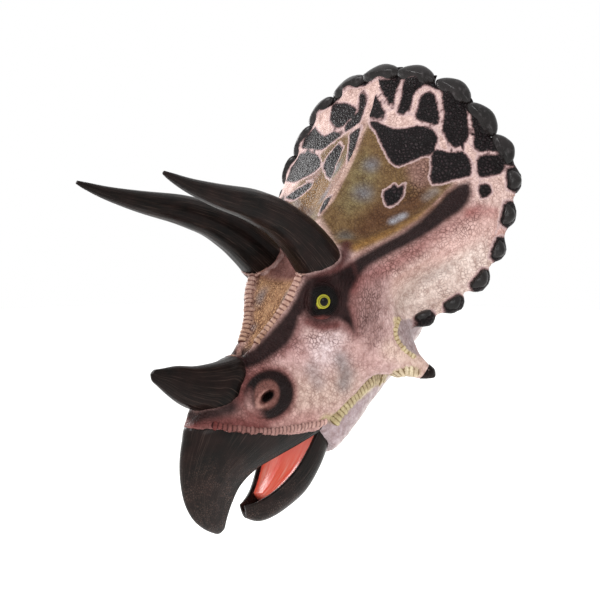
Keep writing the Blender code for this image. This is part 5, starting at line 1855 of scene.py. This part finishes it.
@dataclass(frozen=True)
class LowerBeak:
    """The lower beak, a deep gutter, and the red lining in it.

    Each slice gives the rim's middle and the keel as (fore, up) and the half width at the rim.
    """

    slices: tuple[tuple[tuple[float, float], tuple[float, float], float], ...] = (
        ((0.322, -0.322), (0.334, -0.414), 0.100),
        ((0.370, -0.335), (0.394, -0.430), 0.094),
        ((0.432, -0.347), (0.456, -0.438), 0.080),
        ((0.486, -0.347), (0.506, -0.427), 0.062),
        ((0.531, -0.338), (0.558, -0.403), 0.044),
        ((0.568, -0.321), (0.594, -0.371), 0.028),
        ((0.592, -0.299), (0.609, -0.331), 0.011),
    )
    bulge: float = 0.10
    wall: float = 0.016
    floor: float = 0.55
    steps: int = 8

    def rows(self) -> np.ndarray:
        """The slices along a smooth curve."""
        return flowing([(*rim, *keel, width) for rim, keel, width in self.slices], self.steps)

    def slice_points(self, row: np.ndarray, half: np.ndarray) -> np.ndarray:
        """A closed slice from its left half, given as (side, share down)."""
        outline = np.vstack([half, half[-2:0:-1] * (-1, 1)])
        share = outline[:, 1][:, None]
        return np.column_stack([outline[:, 0], row[:2] * (1 - share) + row[2:4] * share])

    def beak_rings(self) -> np.ndarray:
        """The gutter's slices in the room, with a rounded rim."""
        rings = []
        for row in self.rows():
            width = row[4]
            hollow = width - min(self.wall, width * 0.45)
            down = np.linspace(0, math.pi / 2, 14)
            inner = np.column_stack([hollow * np.sin(down), self.floor * np.cos(down)])
            middle = (hollow + width) / 2
            top = np.linspace(math.pi, 0, 7)[1:-1]
            rim = np.column_stack([middle + (width - hollow) / 2 * np.cos(top), -0.10 * np.sin(top)])
            turn = np.linspace(0, math.pi / 2, 22)
            swell_out = np.clip(np.cos(turn), 0, None) ** 0.7 + self.bulge * np.sin(2 * turn)
            outer = np.column_stack([width * swell_out, np.sin(turn)])
            rings.append(self.slice_points(row, np.vstack([inner, rim, outer])))
        return HEAD.world(np.array(rings))

    def lining_rings(self) -> np.ndarray:
        """The lining's slices in the room: a soft floor with a low tongue along its middle."""
        outline = ((0.0, 0.00), (0.30, 0.02), (0.62, 0.05), (1.0, 0.04), (0.92, 0.70), (0.0, 0.80))
        half = flowing(outline, 6)
        rings = []
        for row in self.rows()[: -2 * self.steps]:
            width = max(row[4] - self.wall * 0.6, row[4] * 0.5)
            rings.append(self.slice_points(row, half * (width, 1)))
        return HEAD.world(np.array(rings))

    def build(self, horn: bpy.types.Material, mouth: bpy.types.Material) -> None:
        """Models and dresses the beak and its lining."""
        piece(drawn_out("lower_beak_grown", self.beak_rings()), Slot.HORN, horn, "lower_beak")
        piece(drawn_out("mouth_floor", self.lining_rings()), Slot.MOUTH, mouth, "mouth_lining")


@dataclass(frozen=True)
class Scutes:
    """The dark bony scutes round the frill's edge, growing smaller from the crown to the cheek.

    Each has its half width, its height and its half thickness, and sits in the edge as deep as seat says.
    Up to band_end one dark band of paint joins them; beyond it each has a dark rim of its own.
    """

    edge: tuple[Row, ...] = (
        (0.000, -0.718, 0.084),
        (0.125, -0.707, 0.067),
        (0.252, -0.669, 0.020),
        (0.340, -0.610, -0.050),
        (0.404, -0.544, -0.116),
        (0.432, -0.480, -0.180),
        (0.430, -0.390, -0.228),
        (0.414, -0.303, -0.277),
        (0.388, -0.205, -0.298),
        (0.343, -0.113, -0.293),
        (0.295, -0.038, -0.264),
    )
    inner: Row = (0.100, -0.330, -0.020)
    sizes: tuple[Row, ...] = (
        (0.069, 0.038, 0.024), (0.069, 0.038, 0.024), (0.068, 0.038, 0.024), (0.063, 0.037, 0.024),
         (0.052, 0.035, 0.024),
        (0.033, 0.030, 0.023), (0.034, 0.028, 0.023), (0.033, 0.027, 0.022), (0.034, 0.026, 0.022),
         (0.030, 0.024, 0.019),
        (0.027, 0.020, 0.017),
    )
    band_end: int = 4
    rim_reach: float = 0.026
    seat: float = 0.010

    def model(self) -> bpy.types.Object:
        """One scute about the zero point: along x, out along y and through along z."""
        bpy.ops.object.select_all(action="DESELECT")
        bpy.ops.mesh.primitive_uv_sphere_add(segments=36, ring_count=20)
        obj = bpy.context.object
        x, y, z = points_of(obj).T
        outward = np.clip(y, 0, None)
        square = np.sign(x) * np.abs(x) ** 0.80
        narrow = 1 - 0.46 * outward**1.2
        flutes = 1 + 0.030 * np.cos(11 * np.arctan2(x, y + 1.3)) * outward
        height = np.where(y > 0, 1 - (1 - np.abs(y)) ** 1.35, 0.55 * y) * flutes
        thin = 1 - 0.15 * outward - 0.45 * np.clip(-y, 0, None)
        move_points(obj, np.column_stack([square * narrow + 0.05 * outward, height, z * thin * flutes]))
        return obj

    def depth_on(self, local: np.ndarray) -> np.ndarray:
        """How far inside the dark paint round the scutes each point of the hide lies; negative outside.

        Args:
            local: Each point as (side, fore, up), the right side laid over the left.

        Returns:
            The depth of each point.
        """
        rim = flowing(self.edge[: self.band_end + 1], 6)
        depth = self.rim_reach - distance_to_line(local, rim)
        for number in range(self.band_end, len(self.edge)):
            middle, run, outward, _ = self.frame_at(number)
            ways = local - middle
            along, out = np.abs(ways @ run) / self.sizes[number][0], ways @ outward / self.sizes[number][1]
            near = np.linalg.norm(ways, axis=1) < 0.07
            inside = np.minimum(1.12 - along - 0.35 * np.clip(-out, 0, 1), out + 0.72) * self.sizes[number][1]
            depth = np.where(near, np.maximum(depth, inside), depth)
        return np.clip(depth, -PATCH_LIMIT, PATCH_LIMIT)

    def frame_at(self, number: int) -> np.ndarray:
        """The scute's middle and its three axes in (side, fore, up), as rows.

        Args:
            number: The scute's number, from the crown.

        Returns:
            The middle and the axes.
        """
        rows = np.array(self.edge)
        here = rows[number]
        before, after = rows[max(number - 1, 0)], rows[min(number + 1, len(rows) - 1)]
        run = unit(after - before) if number else np.array([1.0, 0.0, 0.0])
        away = here - np.array(self.inner) * (1 if number else 0, 1, 1)
        outward = unit(away - run * (away @ run))
        return np.array([here, run, outward, np.cross(run, outward)])

    def build(self, finish: bpy.types.Material) -> bpy.types.Object:
        """Models the scute once, and sets a copy at each of its places.

        Args:
            finish: The scutes' material.

        Returns:
            The piece.
        """
        first = self.model()
        made = []
        for side in Side:
            for number in range(0 if side is Side.LEFT else 1, len(self.edge)):
                middle, run, outward, through = self.frame_at(number)
                sway = 1 + 0.05 * math.sin(2.3 * number + 0.8 * side.value)
                scute = duplicate(first)
                scale = np.array(self.sizes[number]) * (sway, 1, sway)
                place = (points_of(scute) * scale) @ np.array([run, outward, through])
                place = middle - outward * self.seat + place
                move_points(scute, HEAD.world(place * side.flip))
                made.append(scute)
        bpy.data.objects.remove(first)
        whole = fuse("frill_scutes", made)
        with editing(whole):
            bpy.ops.mesh.normals_make_consistent(inside=False)
        bpy.ops.object.shade_smooth()
        keep_values(whole, "grain", points_of(whole) * (0.25, 0.25, 1))
        return piece(whole, Slot.HORN, finish)


@dataclass(frozen=True)
class Eyeball:
    """One eye: a ball with a low cornea, turned the way that the photograph shows it looking."""

    side: Side
    skin: Skin
    cornea: float = 0.0016

    def build(self, finish: bpy.types.Material) -> bpy.types.Object:
        """Models and dresses the eye.

        Args:
            finish: The eye's material.

        Returns:
            The piece.
        """
        middle, look = self.skin.eye_frame()
        across = unit(np.cross(look, (0, 0, 1)))
        rise = np.cross(across, look)
        angles = np.linspace(0.02, math.pi - 0.02, 40)
        radius = self.skin.eye_radius
        bulge = radius + self.cornea * hill(angles / 0.62)
        turn = np.linspace(0, 2 * math.pi, 64, endpoint=False)
        spokes = across[None] * np.cos(turn)[:, None] + rise[None] * np.sin(turn)[:, None]
        high, wide = bulge * np.cos(angles), bulge * np.sin(angles)
        rings = middle + look * high[:, None, None] + spokes[None] * wide[:, None, None]
        obj = drawn_out("eyeball_" + self.side.label, rings * self.side.flip)
        ways = points_of(obj) * self.side.flip - middle
        off = np.linalg.norm(ways - (ways @ look)[:, None] * look, axis=1)
        keep_values(obj, "off_axis", np.where(ways @ look > 0, off, self.skin.eye_radius))
        return piece(obj, Slot.EYE, finish, "eye_" + self.side.label)


# The lids in section: how far out from the way the eye looks, then how far up from the ball's middle.
LID_PROFILE: tuple[tuple[float, float], ...] = (
    (0.0196, 0.0238), (0.0225, 0.0262), (0.0280, 0.0268), (0.0340, 0.0244), (0.0400, 0.0196), (0.0470, 0.0122),
     (0.0540, 0.0025),
    (0.0600, -0.0100),
)


@dataclass(frozen=True)
class EyeLids:
    """The dark lids round one eye: a low cushion of fine round wrinkles, open round the iris.

    Their inner edge is given as LID_PROFILE is. The corner is drawn out to the rear and below.
    """

    side: Side
    skin: Skin
    pitch: float = 0.0052
    corner: float = math.radians(222)
    inner_edge: tuple[Row, Row] = ((0.0165, 0.0130), (0.0182, 0.0205))
    outer_edge: float = 0.0590

    def build(self, finish: bpy.types.Material) -> bpy.types.Object:
        """Models, paints and dresses the lids.

        Args:
            finish: The painted hide's material.

        Returns:
            The piece.
        """
        middle, look = self.skin.eye_frame()
        across = -unit(np.cross(look, (0, 0, 1)))
        rise = np.cross(look, across)
        turn = np.linspace(0, 2 * math.pi, 120, endpoint=False)
        spokes = across[None] * np.cos(turn)[:, None] + rise[None] * np.sin(turn)[:, None]
        corner = hill(np.angle(np.exp(1j * (turn - self.corner))) / 0.62)
        edge = np.array(self.inner_edge)
        out = np.concatenate([edge[:, 0], np.linspace(0.0192, self.outer_edge, 64)])
        high = np.concatenate([edge[:, 1], np.interp(out[2:], *np.array(LID_PROFILE).T)])
        rings = []
        for reach, height in zip(out, high):
            wave = np.cos(2 * math.pi * reach / self.pitch + 0.8 * np.sin(2 * turn) + 0.5 * np.sin(5 * turn + 1))
            fine = 0.4 * np.cos(2 * math.pi * reach / self.pitch * 1.7 + 2.0 * np.sin(3 * turn))
            lift = 0.00075 * (wave + fine) * ramp(reach, 0.0205, 0.024) * (1 - ramp(reach, 0.048, 0.056))
            wide = reach * (1 + 0.50 * corner * (1 - ramp(reach, 0.019, 0.040)))
            rings.append(middle + spokes * wide[:, None] + look * (height + lift)[:, None])
        obj = drawn_out("eyelids_" + self.side.label, np.array(rings) * self.side.flip)
        self.paint(obj, middle, look, across, rise)
        return piece(obj, Slot.SKIN, finish)

    def paint(
        self, obj: bpy.types.Object, middle: np.ndarray, look: np.ndarray, across: np.ndarray, rise: np.ndarray
    ) -> None:
        """Sprays the lids black round the eye, brown towards their edge and reddish below.

        Args:
            obj: The lids.
            middle: The eyeball's middle, on the left side.
            look: The way the eye looks.
            across: The way to the rear, square to look.
            rise: The way up, square to both.
        """
        ways = points_of(obj) * self.side.flip - middle
        right, up = ways @ across, ways @ rise
        out = np.hypot(right, up)
        colour = np.tile(linear("#0B0707"), (len(out), 1))
        below = ramp(-up - 0.2 * np.abs(right), 0.030, 0.046)
        ahead = ramp(-right, 0.026, 0.048)
        coats = (
            ("#2A1A1A", 0.9 * ramp(out, 0.036, 0.050)),
            ("#3E2726", 0.8 * ahead),
            ("#75423F", 0.9 * below),
        )
        take_finish(obj, coated(colour, coats), 0.30)


def take_finish(obj: bpy.types.Object, colour: np.ndarray, crack: float) -> None:
    """Stores what the painted hide's material reads, on a small piece of hide.

    Args:
        obj: The piece.
        colour: The colour of each of its points.
        crack: How strongly its cracks show.
    """
    count = len(colour)
    keep_values(obj, "paint", np.column_stack([colour, np.ones(count)]))
    keep_values(obj, "patch", np.full(count, -PATCH_LIMIT))
    keep_values(obj, "crack", np.full(count, crack))
    for name in ("rim", "tall", "panel"):
        keep_values(obj, name, np.zeros(count))


@dataclass(frozen=True)
class Rolls:
    """A row of small rolls of hide that lie across a line of pixels.

    Lengths, crest tones and gap tones are given for both ends of the line. The darker gap tones down the sides of
    each roll are painted shade between the rolls.
    """

    name: str
    line: tuple[Pixel, ...]
    lengths: tuple[float, float]
    pitch: float
    height: float
    crests: tuple[str, str]
    gaps: tuple[str, str]
    overlap: float = 0.62

    def build(self, skin: Skin, finish: bpy.types.Material) -> None:
        """Lays the row on both sides of the head.

        Args:
            skin: The finished hide.
            finish: Its material.
        """
        if self.line:
            path = skin.surface.path(self.line, FACE_MIDDLE)
        else:
            path = skin.surface.from_above([(side, fore) for fore, side in skin.ridge[1:-1]])
        spine = evenly(HEAD.world(flowing(path, 6)), self.pitch)
        spots, normals = skin.surface.nearest(spine)
        ways = unit(np.gradient(spots, axis=0))
        bpy.ops.object.select_all(action="DESELECT")
        bpy.ops.mesh.primitive_uv_sphere_add(segments=16, ring_count=9)
        first = bpy.context.object
        shape = points_of(first)
        seam = 0.5 / self.overlap
        rolls, colours = [], []
        for number, (spot, normal, way) in enumerate(zip(spots, normals, ways)):
            share = number / (len(spots) - 1)
            across = unit(np.cross(normal, way))
            sway = 1 + 0.13 * math.sin(2.4 * number + 1.1)
            length = self.lengths[0] + (self.lengths[1] - self.lengths[0]) * share
            size = (self.pitch * self.overlap, length / 2 * sway)
            flat = spot + way * (shape[:, :1] * size[0]) + across * (shape[:, 1:2] * size[1])
            ground, rise = skin.surface.nearest(flat)
            made = duplicate(first)
            move_points(made, ground + rise * (shape[:, 2:] * self.height * (0.85 + 0.15 * sway)))
            rolls.append(made)
            pairs = (self.crests, self.gaps)
            tones = [linear(near) * (1 - share) + linear(far) * share for near, far in pairs]
            # The crest tone on each roll's top, and the darker gap tone down its sides as painted shade between the
            # rolls.
            top = 1 - ramp(np.abs(shape[:, :1]), seam - 0.22, seam + 0.02)
            colours.append(tones[0] * top + tones[1] * (1 - top))
        bpy.data.objects.remove(first)
        whole = fuse(self.name + "_left", rolls)
        bpy.ops.object.shade_smooth()
        take_finish(whole, np.vstack(colours), 0.15)
        twin = duplicate(whole)
        twin.name = twin.data.name = self.name + "_right"
        move_points(twin, points_of(twin) * Side.RIGHT.flip)
        with editing(twin):
            bpy.ops.mesh.normals_make_consistent(inside=False)
        for obj in (whole, twin):
            piece(obj, Slot.SKIN, finish)


# The second pair of tones in each row, darker than the crests, is painted shade in the grooves between the rolls.
ROLLS: tuple[Rolls, ...] = (
    Rolls("muzzle_ridge", (), (0.052, 0.042), 0.0130, 0.0052, ("#C9A79B", "#B5937E"), ("#6A3C35", "#57322B"), 0.74),
    Rolls("lip_fringe", ((215, 425.5), (230, 428), (245, 430), (258, 431.5), (271, 431.5), (283, 430), (295, 428),
          (310, 425), (325, 422)), (0.020, 0.023), 0.0122, 0.0056, ("#6C3734", "#C9A59C"), ("#2A1213", "#5A3735"),
          0.72),
    Rolls("cheek_hem", HEM, (0.036, 0.038), 0.0128, 0.0040, ("#BDB089", "#DACCAF"), ("#75653F", "#85714C"), 0.76),
    Rolls("cheek_rear_hem", ((399, 319), (396, 328), (396, 336), (400, 344), (406, 351), (413, 356)),
          (0.014, 0.015), 0.0105, 0.0032, ("#C8B892", "#D2C2A0"), ("#94804F", "#94804F"), 0.72),
)


def dress_board(nodes: dict[str, bpy.types.Object]) -> None:
    """Gives the plywood board and its two keyhole plates their finishes."""
    wood, zinc = PlywoodFinish().material(), ZincFinish().material()
    for name, finish in (("back_board", wood), ("hanger_left", zinc), ("hanger_right", zinc)):
        nodes[name].data.materials.clear()
        nodes[name].data.materials.append(finish)


# How much of a cheek spike its dark cap covers, and how far the cap stands proud of the solid.
CAP_LENGTH = 0.031
CAP_SWELL = 0.0054


def make_cheek_tips(nodes: dict[str, bpy.types.Object], finish: bpy.types.Material) -> None:
    """Models the dark horn caps on the ends of the cheek spikes, a little proud of the hide.

    Args:
        nodes: The CAD nodes.
        finish: The horn's material.
    """
    for side in Side:
        name = "cheek_horn_" + side.label
        obj = copy_of_node(nodes[name], name + "_cap")
        apply_modifier(obj, "REMESH", mode="VOXEL", voxel_size=0.0022)
        apply_modifier(obj, "SMOOTH", factor=0.5, iterations=8)
        swell(obj, CAP_SWELL)
        places = points_of(obj)
        reach = places @ unit(places.mean(axis=0) - HEAD.world([(0.26 * side.value, 0.055, -0.27)])[0])
        tip, middle = places[reach.argmax()], places.mean(axis=0)
        way = unit(tip - middle)
        with editing(obj):
            bpy.ops.mesh.bisect(plane_co=tip - way * CAP_LENGTH, plane_no=way, use_fill=True, clear_inner=True)
        keep_values(obj, "grain", points_of(obj) * (1, 1, 0.3))
        choose(obj)
        bpy.ops.object.shade_smooth()
        piece(obj, Slot.HORN, finish, name)


@dataclass(frozen=True)
class Lamp:
    """A soft lamp: where it stands, how wide it is and its power."""

    name: str
    place: Row
    size: float
    power: float


LAMPS: tuple[Lamp, ...] = (
    Lamp("key_lamp", (-0.9, -3.0, 2.3), 1.3, 66),
    Lamp("side_lamp", (3.0, -2.4, 0.9), 1.6, 26),
    Lamp("rim_lamp", (-2.2, -0.2, 0.4), 1.2, 34),
)


def make_stage() -> None:
    """Lays the plain pale floor, and hangs the soft lamps round the head."""
    bpy.ops.object.select_all(action="DESELECT")
    bpy.ops.mesh.primitive_plane_add(size=40, location=(0, 0, -1.25))
    floor = bpy.context.object
    floor.name = "floor"
    finish, _, shader = new_material("pale_floor")
    feed(shader, {"Base Color": rgba("#F6F6F4"), "Roughness": 0.9})
    feed(shader, {"Emission Color": rgba("#FFFFFF"), "Emission Strength": 0.35})
    floor.data.materials.append(finish)
    world = bpy.data.worlds.new("studio")
    world.use_nodes = True
    feed(world.node_tree.nodes["Background"], {"Color": rgba("#FFFFFF"), "Strength": 1.0})
    bpy.context.scene.world = world
    bpy.context.scene.view_settings.view_transform = "Standard"
    for lamp in LAMPS:
        data = bpy.data.lights.new(lamp.name, "AREA")
        data.size = lamp.size
        data.energy = lamp.power
        made = bpy.data.objects.new(lamp.name, data)
        made.location = lamp.place
        aim = Vector((0, -0.55, -0.15)) - Vector(lamp.place)
        made.rotation_euler = aim.to_track_quat("-Z", "Y").to_euler()
        bpy.context.scene.collection.objects.link(made)


def corners(box: tuple[Vector, Vector]) -> list[list[float]]:
    """A box's two corners as plain lists."""
    return [[round(float(v), 5) for v in corner] for corner in box]


def main() -> None:
    """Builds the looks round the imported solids."""
    logging.basicConfig(level=logging.INFO, format="%(name)s: %(message)s")
    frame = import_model()
    nodes = frame["nodes"]
    view = PhotoView()
    view.make_camera()
    make_stage()

    hide = PaintedSkin().material()
    horn = HornFinish("horn_paint").material()
    beak = HornFinish(
        "beak_paint", along=9.0, scratch_share=0.42, roughness=0.30, coat=0.45, crackle="#46352F", crackle_from=0.11
    ).material()
    scute = HornFinish(
        "scute_paint", brown="#1E1919", scratch="#544F50", across=300.0, along=60.0, roughness=0.24, specular=0.22
    ).material()

    for side in Side:
        BrowHorn(side).build(horn)
    NoseHorn().build(horn)
    UpperBeak().build(beak)
    LowerBeak().build(beak, MouthFinish().material())
    skin = Skin(view, nodes)
    skin.build(hide)
    for side in Side:
        Eyeball(side, skin).build(EyeFinish().material())
        EyeLids(side, skin).build(hide)
    for rolls in ROLLS:
        rolls.build(skin, hide)
    Scutes().build(scute)
    make_cheek_tips(nodes, horn)
    dress_board(nodes)


if __name__ == "__main__":
    main()
